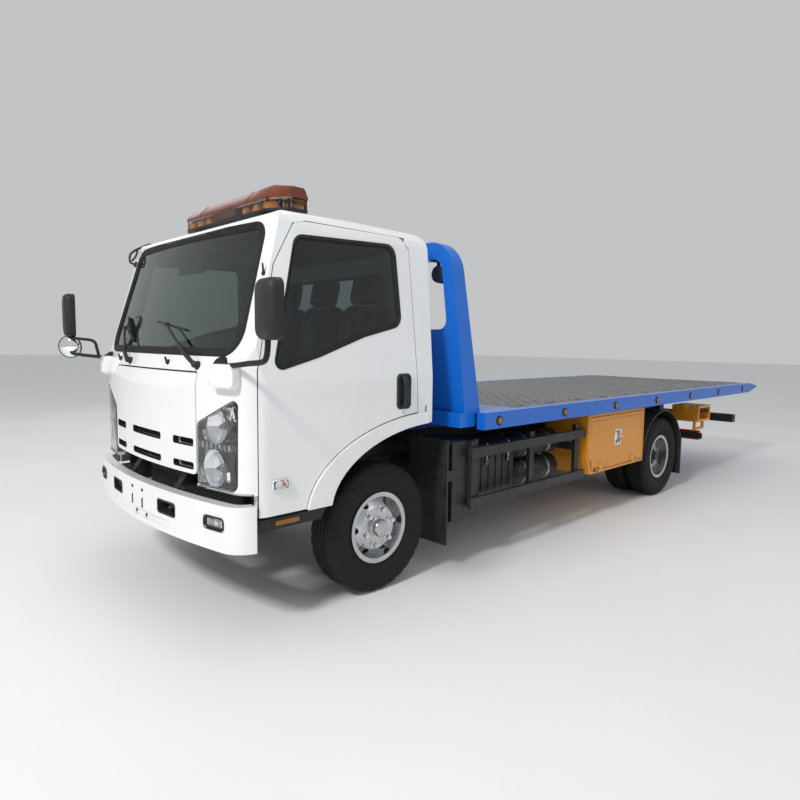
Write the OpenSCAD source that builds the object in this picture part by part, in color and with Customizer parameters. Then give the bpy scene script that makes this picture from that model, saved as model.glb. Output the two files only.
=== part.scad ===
// Flatbed recovery truck with a tilting, sliding bed and a rear wheel lift.
// Millimetres. X forward, Y left, Z up, origin on the ground below the middle of the truck.

/* [Layout] */
// Front axle to rear axle
wheelbase = 3815; // [3600:5:4200]
// Front axle to the bumper's face
front_overhang = 1120; // [1060:5:1200]
// Front axle to the bed's tail edge
tail_reach = 6574; // [6400:2:6900]

/* [Wheels] */
// Tyre radius
tyre_r = 403; // [385:1:415]
// Tyre width
tyre_w = 210; // [190:1:225]
// Radius of the rim's flange
rim_r = 222; // [210:1:232]
// Middle of the front tyre from the centre plane
front_tyre_y = 840; // [830:1:860]
// Middle of the outer rear tyre from the centre plane
rear_tyre_y = 955; // [945:1:975]
// Gap between twin tyres
twin_gap = 30; // [20:1:40]
// King pin from the centre plane
king_pin_y = 700; // [690:1:704]
// Diameter of the front spindle
spindle_d = 60; // [50:1:70]
// Diameter of the rear spindle
rear_spindle_d = 90; // [80:1:100]

/* [Chassis] */
// Outside width of the ladder frame
frame_w = 850; // [820:2:870]
// Width of a frame rail
rail_w = 70; // [55:1:80]
// Height of a frame rail
rail_h = 200; // [170:2:205]
// Underside of the frame rails
rail_z = 520; // [510:1:530]

/* [Cab] */
// Width over the doors
cab_w = 2000; // [1940:2:2040]
// Highest point of the roof
cab_top = 2245; // [2215:1:2300]
// Thickness of doors and walls
wall = 45; // [35:1:55]
// Gap round doors and lids
door_gap = 6; // [5:0.5:9]
// Thickness of the glass
glass_t = 5; // [4:0.5:6]

/* [Bed] */
// Length of the bed's side rail
bed_l = 5811; // [5600:2:5900]
// Width of the bed
bed_w = 2270; // [2200:2:2320]
// Height of the deck above the ground
deck_z = 1082; // [1070:1:1110]
// Height of the side rail
bed_rail_h = 117; // [105:1:120]
// Thickness of the deck plate
deck_t = 6; // [4:0.5:8]
// Length of the tail wedge
wedge_l = 300; // [250:2:340]
// Number of marker lamps on each side
lamp_count = 7; // [4:1:9]

/* [Headboard] */
// Height of the headboard above the deck
head_h = 1120; // [1000:2:1180]
// Headboard's posts in from the bed's sides
head_inset = 85; // [60:1:110]
// Width of a headboard post
post_w = 100; // [80:1:130]

/* [Tail and lift] */
// Tilt axis behind the rear axle
tilt_back = 1435; // [1400:1:1460]
// Height of the tilt axis
tilt_z = 770; // [768:1:776]
// Diameter of the tilt pin
tilt_pin_d = 60; // [50:1:64]
// Length of the crossbar of the wheel lift
crossbar_l = 2000; // [1800:2:2100]
// Diameter of the bores for the lifting forks
fork_bore_d = 50; // [40:1:56]

/* [Boxes] */
// Length of a tool box
box_l = 1080; // [900:2:1100]
// Height of a tool box
box_h = 520; // [460:2:525]
// Depth of a tool box
box_d = 420; // [360:2:440]

/* [Hidden] */
$fn = 48;

// Longitudinal places
front_x = (tail_reach - front_overhang) / 2;
rear_x = front_x - wheelbase;
nose_x = front_x + front_overhang;
tail_x = front_x - tail_reach;
head_w = bed_w - 2 * head_inset;
tilt_x = rear_x - tilt_back;
bed_front_x = tail_x + bed_l;
// Running clearances: shafts, sliding pads, moving neighbours
run_fit = 0.05;
pad_fit = 0.3;
clear = 5;
// Overlap that makes fused solids one body
bite = 2;

rail_top = rail_z + rail_h;
rail_out = frame_w / 2;
rail_in = rail_out - rail_w;
frame_front_x = front_x + 870;
frame_rear_x = tilt_x - 40;

// Rounded rectangle on its centre, exact arcs
module round_rect(w, h, r) {
  square([w, h - 2 * r], center = true);
  square([w - 2 * r, h], center = true);
  for (i = [-1, 1], j = [-1, 1])
    translate([i * (w / 2 - r), j * (h / 2 - r)]) circle(r = r);
}
// Box from one corner to the opposite one
module span(a, b) {
  translate([min(a[0], b[0]), min(a[1], b[1]), min(a[2], b[2])])
    cube([abs(a[0] - b[0]), abs(a[1] - b[1]), abs(a[2] - b[2])]);
}
// The child and its mirror image on the other side
module both_sides() {
  for (s = [0, 1]) mirror([0, s, 0]) children();
}
// An outline in side view (x, z), extruded from y0 to y1
module side_slab(y0, y1) {
  translate([0, y1, 0]) rotate([90, 0, 0]) linear_extrude(y1 - y0) children();
}
// An outline in front view (y, z), extruded from x0 to x1
module front_slab(x0, x1) {
  translate([x0, 0, 0]) rotate([90, 0, 90]) linear_extrude(x1 - x0) children();
}
// A cylinder along Y from y0 to y1
module y_bar(x, z, y0, y1, d) {
  translate([x, y1, z]) rotate([90, 0, 0]) cylinder(d = d, h = y1 - y0);
}
// A cylinder along X from x0 to x1
module x_bar(y, z, x0, x1, d) {
  translate([x0, y, z]) rotate([0, 90, 0]) cylinder(d = d, h = x1 - x0);
}
// Corner points of an outline given as [x, y, radius], each corner an arc of n steps
function unit(v) = v / norm(v);
function corner_arc(a, b, c, r, n) =
  r == 0 ? [b] :
  let (
    u = unit(a - b), w = unit(c - b),
    half = acos(max(-1, min(1, u * w))) / 2,
    m = b + unit(u + w) * (r / sin(half)),
    p = b + u * (r / tan(half)) - m,
    q = b + w * (r / tan(half)) - m,
    sweep = acos(max(-1, min(1, unit(p) * unit(q)))),
    turn = p[0] * q[1] - p[1] * q[0] > 0 ? sweep : -sweep
  )
  [for (k = [0 : n]) let (t = turn * k / n)
    m + [p[0] * cos(t) - p[1] * sin(t), p[0] * sin(t) + p[1] * cos(t)]];
function round_outline(pts, n = 5) =
  let (c = len(pts), xy = [for (p = pts) [p[0], p[1]]])
  [for (i = [0 : c - 1])
    each corner_arc(xy[(i + c - 1) % c], xy[i], xy[(i + 1) % c], pts[i][2], n)];

// Ladder frame with the fixed subframe on it
cross_x = [front_x + 620, front_x - 1260, front_x - 2100, rear_x + 760, rear_x - 700,
  tilt_x + 150];
sub_z = tilt_z - 5;
sub_front_x = bed_front_x - 60;
lift_pin_x = tilt_x + 43;
lift_pin_z = 600;
lift_pin_d = 60;
barrel_pin = [rear_x + 190, 600];
barrel_pin_d = 36;
cyl_y = 300;
ear_t = 30;
module chassis_frame() color("#1c1d1f") {
  both_sides() {
    difference() {
      span([frame_front_x, rail_in, rail_z], [frame_rear_x, rail_out, rail_top]);
      span([frame_front_x - 60, rail_in - 1, rail_z + 8], [tilt_x + 260, rail_out - 8, rail_top - 8]);
    }
    span([sub_front_x, rail_in, rail_top - bite], [tilt_x + 130, rail_out, sub_z]);
    for (x = [sub_front_x - 120, rear_x + 700, tilt_x + 300])
      span([x, rail_in + 5, sub_z - bite], [x + 100, rail_out - 5, tilt_z + 15 - pad_fit]);
    side_slab(rail_out - bite, rail_out + ear_t)
      polygon([[tilt_x + 160, rail_z + 40], [tilt_x + 60, tilt_z + 45], [tilt_x - 40, tilt_z + 45],
        [tilt_x - 40, rail_z + 40]]);
  }
  for (x = cross_x) {
    span([x - 35, -rail_out + 6, rail_top - 75], [x + 35, rail_out - 6, rail_top - 15]);
  }
  y_bar(tilt_x, tilt_z, -rail_out - ear_t, rail_out + ear_t, tilt_pin_d);
  y_bar(lift_pin_x, lift_pin_z, -rail_in - bite, rail_in + bite, lift_pin_d);
  both_sides() {
    y_bar(barrel_pin[0], barrel_pin[1], cyl_y - 45, rail_out - 4, barrel_pin_d);
    span([side_x0 + 10, rail_in, rail_top - bite], [side_x0 + 90, rail_out, floor_rear_z - pad_fit]);
    span([frame_front_x - 40, rail_in, cab_pivot[1] - 50], [cab_pivot[0] + 30, rail_out, cab_pivot[1] + 35]);
    y_bar(cab_pivot[0], cab_pivot[1], pivot_y[0] - 6, rail_in + bite, cab_pin_d);
  }
  tail_bar();
}

// Front axle beam with its springs
kp_bore_r = 18 + run_fit;
eye_h = 110;
eye_r = 45;
spring_y = rail_out - rail_w / 2;
front_leaf_z = tyre_r + 55;
rear_leaf_z = tyre_r + 60;
leaf_rise = 55;
module leaf_pack(x, z, l, t) {
  translate([x, 0, z]) both_sides() {
    for (i = [0 : 3])
      side_slab(spring_y - 35, spring_y + 35)
        polygon([for (k = [0 : 6]) let (u = k / 3 - 1) [u * (l / 2 - i * 130), leaf_rise * u * u - i * t],
          for (k = [6 : -1 : 0]) let (u = k / 3 - 1)
            [u * (l / 2 - i * 130), leaf_rise * u * u - i * t - t - (i < 3 ? 1 : 0)]]);
  }
}
module spring_hangers(x, z, l) {
  both_sides() for (s = [-1, 1])
    span([x + s * l / 2 - 40, spring_y - 38, z + 20], [x + s * l / 2 + 40, spring_y + 38, rail_z]);
}
module front_axle() color("#26282a") {
  difference() {
    union() {
      side_slab(-king_pin_y + 30, king_pin_y - 30)
        translate([front_x, tyre_r - 5]) round_rect(90, 90, 12);
      both_sides() translate([front_x, king_pin_y, tyre_r - eye_h / 2]) cylinder(r = eye_r, h = eye_h);
      leaf_pack(front_x, front_leaf_z, 1200, 16);
      both_sides() span([front_x - 60, spring_y - 45, tyre_r], [front_x + 60, spring_y + 45, front_leaf_z + 12]);
      spring_hangers(front_x, front_leaf_z, 1200);
    }
    both_sides() translate([front_x, king_pin_y, 0]) cylinder(r = kp_bore_r, h = 2 * tyre_r);
  }
}

// Rear axle with its springs and the propeller shaft
diff_r = 170;
shaft_z = rail_z + 60;
module rear_axle() color("#232527") {
  y_bar(rear_x, tyre_r, -rear_tyre_y - 60, rear_tyre_y + 60, rear_spindle_d);
  y_bar(rear_x, tyre_r, -rear_tyre_y + 360, rear_tyre_y - 360, 140);
  translate([rear_x, 0, tyre_r]) rotate([0, 90, 0]) cylinder(r = diff_r, h = 170, center = true);
  translate([rear_x, 0, tyre_r]) sphere(r = 155);
  x_bar(0, tyre_r + 60, rear_x, rear_x + 330, 110);
  hull() {
    x_bar(0, tyre_r + 60, rear_x + 320, rear_x + 340, 80);
    x_bar(0, shaft_z, front_x - 1192, front_x - 1172, 80);
  }
  leaf_pack(rear_x, rear_leaf_z, 1400, 18);
  both_sides() span([rear_x - 70, spring_y - 45, tyre_r], [rear_x + 70, spring_y + 45, rear_leaf_z + 12]);
  spring_hangers(rear_x, rear_leaf_z, 1400);
}

// Engine block, gearbox, radiator and exhaust as one plain mass
eng_w = 560;
exhaust_z = rail_z - 75;
module engine() color("#303236") {
  span([front_x + 420, -eng_w / 2, rail_z + 10], [front_x - 480, eng_w / 2, 960]);
  span([front_x - 470, -190, rail_z - 60], [front_x - 1170, 190, rail_top + 40]);
  span([front_x + 800, -330, rail_z + 100], [front_x + 730, 330, 1090]);
  x_bar(0, 800, front_x + 410, front_x + 740, 120);
  x_bar(-130, exhaust_z, front_x - 1000, front_x - 300, 60);
  translate([front_x - 1000, -130, exhaust_z]) sphere(d = 60);
  translate([front_x - 1000, -130, exhaust_z]) rotate([90, 0, 0]) cylinder(d = 60, h = 130);
  translate([front_x - 1000, -260, exhaust_z]) sphere(d = 60);
  x_bar(-260, exhaust_z, front_x - 1700, front_x - 1000, 60);
  x_bar(-260, exhaust_z, front_x - 2250, front_x - 1700, 180);
  x_bar(-260, exhaust_z, front_x - 2500, front_x - 2250, 60);
  both_sides() span([front_x + 300, eng_w / 2 - bite, rail_z + 60], [front_x + 200, rail_out - 8, rail_z + 130]);
}

// Plan outline of the cab's nose: a wide arc with a tangent corner arc
module nose_plan(x, half_w, arc_r, corner_r, back_x) {
  cx = x - arc_r;
  cy = half_w - corner_r;
  corner_x = cx + sqrt(pow(arc_r - corner_r, 2) - cy * cy);
  turn = asin(cy / (arc_r - corner_r));
  difference() {
    intersection() {
      translate([cx, 0]) circle(r = arc_r, $fn = 720);
      translate([back_x, -half_w]) square([x - back_x, 2 * half_w]);
    }
    for (s = [0, 1]) mirror([0, s]) difference() {
      polygon([[corner_x, cy], [corner_x + 3 * corner_r * cos(turn), cy + 3 * corner_r * sin(turn)],
        [corner_x + 3 * corner_r, cy + 4 * corner_r], [corner_x, cy + 4 * corner_r]]);
      translate([corner_x, cy]) circle(r = corner_r, $fn = 240);
    }
  }
}

// Front bumper with hook openings and fog lamp pockets
bumper_z0 = 468;
bumper_z1 = 712;
bumper_t = 60;
nose_r = 4200;
bumper_corner = 150;
fog_y = 810;
fog_size = [150, 66];
fog_z = 612;
hook_y = 370;
hook_size = [190, 74];
groove_z = 520;
groove_size = [820, 46];
module bumper_plan(inset) {
  nose_plan(nose_x - inset, cab_w / 2 - inset, nose_r - inset, bumper_corner - inset, nose_x - 1200);
}
module front_bumper() color("#e9ebec") difference() {
  union() {
    difference() {
      translate([0, 0, bumper_z0]) linear_extrude(bumper_z1 - bumper_z0) bumper_plan(0);
      translate([0, 0, bumper_z0 - 1]) linear_extrude(bumper_z1 - bumper_z0 + 2) bumper_plan(bumper_t);
      span([nose_x - 1300, -cab_w, 0], [nose_x - 220, cab_w, cab_top]);
    }
    both_sides() span([nose_x - 30, rail_in, rail_z + 10], [frame_front_x, rail_out, rail_z + 110]);
  }
  both_sides() front_slab(nose_x - 200, nose_x + 10)
    translate([fog_y, fog_z]) round_rect(fog_size[0], fog_size[1], 18);
  both_sides() front_slab(nose_x - bumper_t - 40, nose_x + 10)
    translate([hook_y, fog_z]) round_rect(hook_size[0], hook_size[1], 20);
  front_slab(nose_x - 24, nose_x + 10) translate([0, groove_z]) round_rect(groove_size[0], groove_size[1], 16);
}
module fog_lamps() color("#d8dde2") both_sides() intersection() {
  translate([0, 0, bumper_z0]) linear_extrude(bumper_z1 - bumper_z0) difference() {
    bumper_plan(14);
    bumper_plan(bumper_t);
  }
  front_slab(nose_x - 200, nose_x + 10) translate([fog_y, fog_z]) round_rect(fog_size[0], fog_size[1], 18);
}

// Fuel tank on the right, strapped to the rail
box_tyre_gap = 82;
box_x0 = rear_x + tyre_r + box_tyre_gap + box_l;
guard_y = bed_w / 2 - 70;
guard_t = 30;
tank_x = [front_x - 1080, box_x0 + 270];
tank_y = [rail_out + 120, guard_y - guard_t - 70];
module fuel_tank() color("#9a9da0") {
  translate([tank_x[1], -(tank_y[0] + tank_y[1]) / 2, 600]) rotate([90, 0, 90])
    linear_extrude(tank_x[0] - tank_x[1]) round_rect(tank_y[1] - tank_y[0], 380, 60);
  for (x = [tank_x[0] - 200, tank_x[1] + 200])
    span([x - 25, -rail_out, 560], [x + 25, -rail_out - 140, 700]);
}

// Side guards, with the plate and battery case behind each front wheel
guard_x = [front_x - 720, box_x0 + 10];
rails_z = [450, 800];
flap_x = front_x - 540;
module side_guards() color("#202224") both_sides() {
  for (z = rails_z) span([guard_x[0], guard_y - guard_t, z - 35], [guard_x[1], guard_y, z + 35]);
  for (x = [guard_x[0] - 60, (guard_x[0] + guard_x[1]) / 2, guard_x[1] + 90])
    span([x - 30, guard_y - guard_t - 30, rails_z[0] - 35], [x + 30, guard_y - guard_t + bite, 880]);
  for (x = [guard_x[0] - 60, guard_x[1] + 90])
    span([x - 30, rail_out, rail_top - 60], [x + 30, guard_y - guard_t, rail_top]);
  span([flap_x, 640, 180], [flap_x - 14, cab_w / 2, 900]);
  span([flap_x - 10, rail_out, 620], [flap_x - 60, cab_w / 2, 690]);
  span([flap_x - 55, 660, 330], [flap_x - 330, cab_w / 2, 880]);
}

// Rear fenders over the twin wheels, with flaps
fender_r = 480;
fender_t = 12;
fender_y = [rail_out + 130, bed_w / 2 - 60];
fender_z = tyre_r + 10;
module rear_fenders() color("#1d1f21") both_sides() {
  side_slab(fender_y[0], fender_y[1]) intersection() {
    difference() {
      translate([rear_x, fender_z]) circle(r = fender_r, $fn = 96);
      translate([rear_x, fender_z]) circle(r = fender_r - fender_t, $fn = 96);
    }
    translate([rear_x - fender_r - 1, fender_z + 60]) square([2 * fender_r + 2, fender_r]);
  }
  for (s = [-1, 1])
    y_bar(rear_x + s * 330, fender_z + 335, rail_out, fender_y[1] - 30, 36);
  span([rear_x - fender_r - 6, fender_y[0] + 30, 160], [rear_x - fender_r + 6, fender_y[1], fender_z + 140]);
}

// Tool boxes on both sides, open to the outside
box_face_y = bed_w / 2 - 55;
box_z0 = 430;
box_t = 20;
hinge_d = 10;
hinge_lug_d = 20;
hinge_axis = [box_face_y + 12, box_z0 + 16];
hinge_at = [0.22, 0.78];
module box_outline(inset) {
  polygon([[box_x0 - inset - 60, box_z0 + inset], [box_x0 - inset, box_z0 + 140 + inset],
    [box_x0 - inset, box_z0 + box_h - inset], [box_x0 - box_l + inset, box_z0 + box_h - inset],
    [box_x0 - box_l + inset, box_z0 + inset]]);
}
module tool_boxes() color("#e8a413") both_sides() {
  difference() {
    side_slab(box_face_y - box_d, box_face_y) box_outline(0);
    side_slab(box_face_y - box_d + box_t, box_face_y + 1) box_outline(box_t);
  }
  for (x = [box_x0 - 200, box_x0 - box_l + 200])
    span([x - 40, rail_out, rail_top - 90], [x + 40, box_face_y - box_d, rail_top - 10]);
  for (h = hinge_at) translate([box_x0 - h * box_l, 0, 0]) {
    x_bar(hinge_axis[0], hinge_axis[1], -45, 45, hinge_d);
    for (s = [-1, 1])
      span([s * 30, box_face_y - bite, hinge_axis[1] - 10], [s * 45, hinge_axis[0] + 8, hinge_axis[1] + 10]);
  }
}
// Control cabinets with their levers and a guard bar below
ctl_x = [rear_x - 922, rear_x - 1280];
ctl_z = [690, 870];
ctl_d = 300;
ctl_recess = 120;
lever_count = 5;
lever_pitch = 58;
guard_bar_d = 34;
guard_bar_drop = 90;
module control_boxes() color("#e8a413") both_sides() {
  difference() {
    span([ctl_x[0], box_face_y - ctl_d, ctl_z[0]], [ctl_x[1], box_face_y, ctl_z[1]]);
    span([ctl_x[0] - 25, box_face_y - ctl_recess, ctl_z[0] + 25], [ctl_x[1] + 25, box_face_y + 1, ctl_z[1] - 25]);
  }
  for (i = [0 : lever_count - 1])
    translate([ctl_x[0] - 64 - i * lever_pitch, box_face_y - ctl_recess - bite, ctl_z[0] + 70])
      rotate([-70, 0, 0]) {
        cylinder(d = 14, h = 95);
        translate([0, 0, 98]) sphere(d = 32);
      }
  for (x = [ctl_x[0] - 60, ctl_x[1] + 60]) {
    span([x - 40, rail_out, rail_top - 60], [x + 40, box_face_y - ctl_d, rail_top]);
    translate([x, box_face_y - 60, ctl_z[0] - guard_bar_drop]) cylinder(d = guard_bar_d, h = guard_bar_drop + bite);
  }
  x_bar(box_face_y - 60, ctl_z[0] - guard_bar_drop, ctl_x[1] + 43, ctl_x[0] - 43, guard_bar_d);
}
module tool_door() {
  difference() {
    union() {
      side_slab(box_face_y - 24, box_face_y) box_outline(box_t + door_gap);
      for (h = hinge_at) translate([box_x0 - h * box_l, 0, 0]) {
        x_bar(hinge_axis[0], hinge_axis[1], -24, 24, hinge_lug_d);
        span([-24, box_face_y - bite, hinge_axis[1] + 4], [24, hinge_axis[0] + 4, box_z0 + box_t + door_gap + 60]);
      }
      translate([box_x0 - box_l / 2 - 45, box_face_y - bite, box_z0 + box_h / 2]) cube([90, 14, 60]);
    }
    x_bar(hinge_axis[0], hinge_axis[1], box_x0 - box_l, box_x0, hinge_d + 2 * run_fit);
  }
}
module tool_door_left() color("#e8a413") tool_door();
module tool_door_right() color("#e8a413") mirror([0, 1, 0]) tool_door();

// Lamp bar under the frame's tail
tail_bar_x = tilt_x - 90;
tail_bar_z = [420, 490];
module tail_bar() {
  span([tail_bar_x, -920, tail_bar_z[0]], [tail_bar_x + 30, 920, tail_bar_z[1]]);
  both_sides() span([tail_bar_x, rail_in, tail_bar_z[0]], [frame_rear_x + bite, rail_in + 40, rail_top - 60]);
}
module tail_lamps() color("#b3161b") both_sides()
  span([tail_bar_x, 560, tail_bar_z[0] - 20], [tail_bar_x - 50, 880, tail_bar_z[1] + 20]);

// Tilt frame that carries the sliding bed
sill_z = tilt_z + 115;
tilt_rail_y = [rail_in - 10, rail_out - 8];
tilt_rail_z = [tilt_z + 15, sill_z - clear];
tilt_front_x = sub_front_x + 20;
slide_z = sill_z + 15;
slide_barrel_d = 90;
slide_bore_d = 56;
slide_barrel_x = [tilt_front_x - 100, tilt_x + 543];
slide_rod_x = [slide_barrel_x[0] - 150, tilt_x + 443];
rod_eye = [tilt_x + 700, tilt_z + 45];
rod_pin_d = 36;
tilt_cross_x = [tilt_front_x - 120, front_x - 1900, front_x - 3100, slide_barrel_x[1] + 20];
module tilt_frame() color("#27292b") difference() {
  union() {
    both_sides() {
      span([tilt_front_x, tilt_rail_y[0], tilt_rail_z[0]], [tilt_x, tilt_rail_y[1], tilt_rail_z[1]]);
      for (x = [tilt_front_x - 200, front_x - 2100, front_x - 3200, rear_x - 300, tilt_x + 100])
        span([x - 60, tilt_rail_y[0] + 6, tilt_rail_z[1] - bite], [x + 60, tilt_rail_y[1] - 6, sill_z - pad_fit]);
      y_bar(rod_eye[0], rod_eye[1], cyl_y - 40, tilt_rail_y[0] + bite, rod_pin_d);
    }
    y_bar(tilt_x, tilt_z, -rail_out + 7, rail_out - 7, tilt_pin_d + 30);
    for (x = tilt_cross_x)
      span([x - 40, -tilt_rail_y[0] - bite, tilt_rail_z[0]], [x + 40, tilt_rail_y[0] + bite, tilt_rail_z[0] + 55]);
    x_bar(0, slide_z, slide_barrel_x[1], slide_barrel_x[0], slide_barrel_d);
    for (x = [slide_barrel_x[0] - 20, slide_barrel_x[1] + 30])
      span([x - 30, -30, tilt_rail_z[0] + 50], [x + 30, 30, slide_z - slide_bore_d / 2 - 6]);
  }
  y_bar(tilt_x, tilt_z, -rail_out, rail_out, tilt_pin_d + 2 * run_fit);
  x_bar(0, slide_z, slide_barrel_x[1] - 1, slide_barrel_x[0] - 100, slide_bore_d);
}

// Tilt cylinders: barrels on the frame, rods to the tilt frame
barrel_d = 96;
barrel_bore_d = 62;
rod_d = 61.4;
cyl_run = [rod_eye[0] - barrel_pin[0], rod_eye[1] - barrel_pin[1]];
cyl_len = norm(cyl_run);
cyl_angle = atan2(cyl_run[1], -cyl_run[0]);
module along_cylinder() {
  both_sides() translate([barrel_pin[0], cyl_y, barrel_pin[1]]) rotate([0, -90 + cyl_angle, 0]) children();
}
module cross_eye(d, w) rotate([90, 0, 0]) cylinder(d = d, h = w, center = true);
module tilt_barrels() color("#33363a") along_cylinder() difference() {
  union() {
    translate([0, 0, 40]) cylinder(d = barrel_d, h = cyl_len * 0.62);
    cross_eye(80, 44);
    translate([-25, -20, 0]) cube([50, 40, 60]);
  }
  translate([0, 0, 80]) cylinder(d = barrel_bore_d, h = cyl_len);
  cross_eye(barrel_pin_d + 2 * run_fit, 60);
}
module tilt_rods() color("#c9ccd0") along_cylinder() difference() {
  union() {
    translate([0, 0, 100]) cylinder(d = rod_d, h = cyl_len - 130);
    translate([0, 0, cyl_len]) cross_eye(84, 40);
  }
  translate([0, 0, cyl_len]) cross_eye(rod_pin_d + 2 * 7, 60);
}

// Bed: longitudinal sills, cross members, side rails and tail wedge
bed_rail_w = 70;
rail_in_y = bed_w / 2 - bed_rail_w;
bed_rail_z = deck_z - bed_rail_h;
cross_z = [sill_z + 115, deck_z - deck_t];
wedge_x = tail_x + wedge_l;
wedge_tip_z = [deck_z - 62, deck_z - 37];
sill_tail_x = tail_x + 520;
sill_taper = 420;
bed_cross_count = 11;
head_base_x = front_x - 600;
deck_x0 = front_x - 1200;
bed_pitch = (bed_l - wedge_l - 160) / (bed_cross_count - 1);
function bed_cross_x(i) = bed_front_x - 80 - i * bed_pitch;
module bed_rails() color("#1f58b0") both_sides() side_slab(rail_in_y, bed_w / 2)
  polygon([[bed_front_x, bed_rail_z], [bed_front_x, deck_z], [wedge_x, deck_z], [tail_x, wedge_tip_z[1]],
    [tail_x, wedge_tip_z[0]], [wedge_x, bed_rail_z]]);
module bed_sills() color("#1f58b0") both_sides() side_slab(tilt_rail_y[0], tilt_rail_y[1])
  polygon([[bed_front_x, sill_z], [bed_front_x, cross_z[0]], [sill_tail_x, cross_z[0]],
    [sill_tail_x, cross_z[0] - 20], [sill_tail_x + sill_taper, sill_z]]);
module bed_frame() color("#1f58b0") {
  for (i = [0 : bed_cross_count - 1])
    span([bed_cross_x(i) - 30, -rail_in_y, cross_z[0]], [bed_cross_x(i) + 30, rail_in_y, cross_z[1]]);
  side_slab(-rail_in_y, rail_in_y)
    polygon([[wedge_x, deck_z - deck_t - 50], [wedge_x, deck_z], [tail_x, wedge_tip_z[1]], [tail_x, wedge_tip_z[0]]]);
  span([bed_front_x, -head_w / 2, sill_z + 100], [head_base_x, head_w / 2, deck_z]);
  span([bed_front_x, -rail_in_y, cross_z[1]], [deck_x0, rail_in_y, deck_z]);
  x_bar(0, slide_z, slide_rod_x[1], slide_rod_x[0], slide_bore_d - 2 * pad_fit);
  rod_cross = floor((bed_front_x - 80 - slide_rod_x[1]) / bed_pitch);
  span([bed_cross_x(rod_cross) + 30, -40, cross_z[0] + 10], [slide_rod_x[1] - 30, 40, cross_z[1]]);
  span([slide_rod_x[1] - 30, -40, slide_z - 40], [slide_rod_x[1] + 30, 40, cross_z[1]]);
}

// Deck plate with lashing slots along both edges
slot_count = 12;
slot_size = [150, 34];
slot_y = rail_in_y - 70;
module bed_deck() color("#8f9498") difference() {
  span([deck_x0, -rail_in_y, deck_z - deck_t], [wedge_x, rail_in_y, deck_z]);
  for (i = [0 : slot_count - 1], s = [-1, 1])
    translate([deck_x0 - 150 - i * (deck_x0 - wedge_x - 300) / (slot_count - 1), s * slot_y, deck_z - deck_t / 2])
      linear_extrude(4 * deck_t, center = true) round_rect(slot_size[0], slot_size[1], 16);
}

// Headboard: leaning posts, lower panel and a window under the top beam
head_top = deck_z + head_h;
head_foot_x = [front_x - 810, front_x - 650];
head_crown_x = [front_x - 570, front_x - 480];
head_corner_r = 180;
head_panel_t = 30;
head_window_z = [1640, 2095];
head_lean = (head_crown_x[1] - head_foot_x[1]) / head_h;
work_lamp_d = 110;
module headboard() color("#1f58b0") {
  difference() {
    intersection() {
      side_slab(-head_w / 2, head_w / 2)
        polygon([[head_foot_x[0], deck_z], [head_foot_x[1], deck_z], [head_crown_x[1], head_top],
          [head_crown_x[0], head_top]]);
      front_slab(head_foot_x[0] - 10, head_crown_x[1] + 10) {
        translate([0, (deck_z + head_top) / 2]) round_rect(head_w, head_h, head_corner_r);
        translate([-head_w / 2, deck_z]) square([head_w, head_h / 2]);
      }
    }
    front_slab(head_foot_x[0] - 100, head_crown_x[1] + 100)
      translate([0, (head_window_z[0] + head_window_z[1]) / 2])
        round_rect(head_w - 2 * post_w, head_window_z[1] - head_window_z[0], 70);
    side_slab(-head_w / 2 + post_w, head_w / 2 - post_w)
      polygon([[head_foot_x[0] - 100, deck_z + 40],
        [head_foot_x[1] - head_panel_t + 40 * head_lean, deck_z + 40],
        [head_foot_x[1] - head_panel_t + (head_window_z[0] - 40 - deck_z) * head_lean, head_window_z[0] - 40],
        [head_foot_x[0] - 100, head_window_z[0] - 40]]);
  }
  both_sides() {
    x_bar(head_w / 2 - post_w - 80, head_window_z[1] - 90, head_crown_x[0] - 70, head_crown_x[0] + 20, work_lamp_d);
    translate([head_crown_x[0] + 10, head_w / 2 - post_w - 80, head_window_z[1] - 60]) cylinder(d = 20, h = 70);
  }
}

// Amber marker lamps along the side rails
lamp_d = 46;
module bed_lamps() color("#e58a12") both_sides()
  for (i = [0 : lamp_count - 1])
    y_bar(bed_front_x - 157 - i * 851, deck_z - 62, bed_w / 2, bed_w / 2 + 10, lamp_d);

// Winch behind the headboard
winch_x = bed_front_x - 260;
module winch() color("#3a3d41") {
  span([winch_x - 170, -330, deck_z], [winch_x + 170, 330, deck_z + 16]);
  both_sides() side_slab(230, 256) translate([winch_x, 0])
    polygon(round_outline([[-150, deck_z + 10, 0], [150, deck_z + 10, 0], [110, deck_z + 300, 60],
      [-110, deck_z + 300, 60]]));
  y_bar(winch_x, deck_z + 165, -240, 240, 130);
  y_bar(winch_x, deck_z + 165, 250, 430, 150);
  y_bar(winch_x, deck_z + 165, -330, -250, 170);
}

// Wheel lift: a hollow boom hinged at the tail and a telescoping bar with the crossbar
boom_size = [130, 110];
boom_wall = 8;
boom_end_x = tilt_x - 777;
bar_gap = 173;
bar_x = boom_end_x - bar_gap;
bar_size = 100;
bar_z = lift_pin_z + 15;
fork_y = crossbar_l / 2 - 80;
inner_size = [boom_size[0] - 2 * boom_wall - 2 * pad_fit, boom_size[1] - 2 * boom_wall - 2 * pad_fit];
module lift_boom() color("#2b2d30") difference() {
  union() {
    span([lift_pin_x, -boom_size[0] / 2, lift_pin_z - boom_size[1] / 2],
      [boom_end_x, boom_size[0] / 2, lift_pin_z + boom_size[1] / 2]);
    y_bar(lift_pin_x, lift_pin_z, -110, 110, boom_size[1]);
  }
  span([lift_pin_x - 70, -boom_size[0] / 2 + boom_wall, lift_pin_z - boom_size[1] / 2 + boom_wall],
    [boom_end_x - 1, boom_size[0] / 2 - boom_wall, lift_pin_z + boom_size[1] / 2 - boom_wall]);
  y_bar(lift_pin_x, lift_pin_z, -120, 120, lift_pin_d + 2 * run_fit);
}
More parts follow.
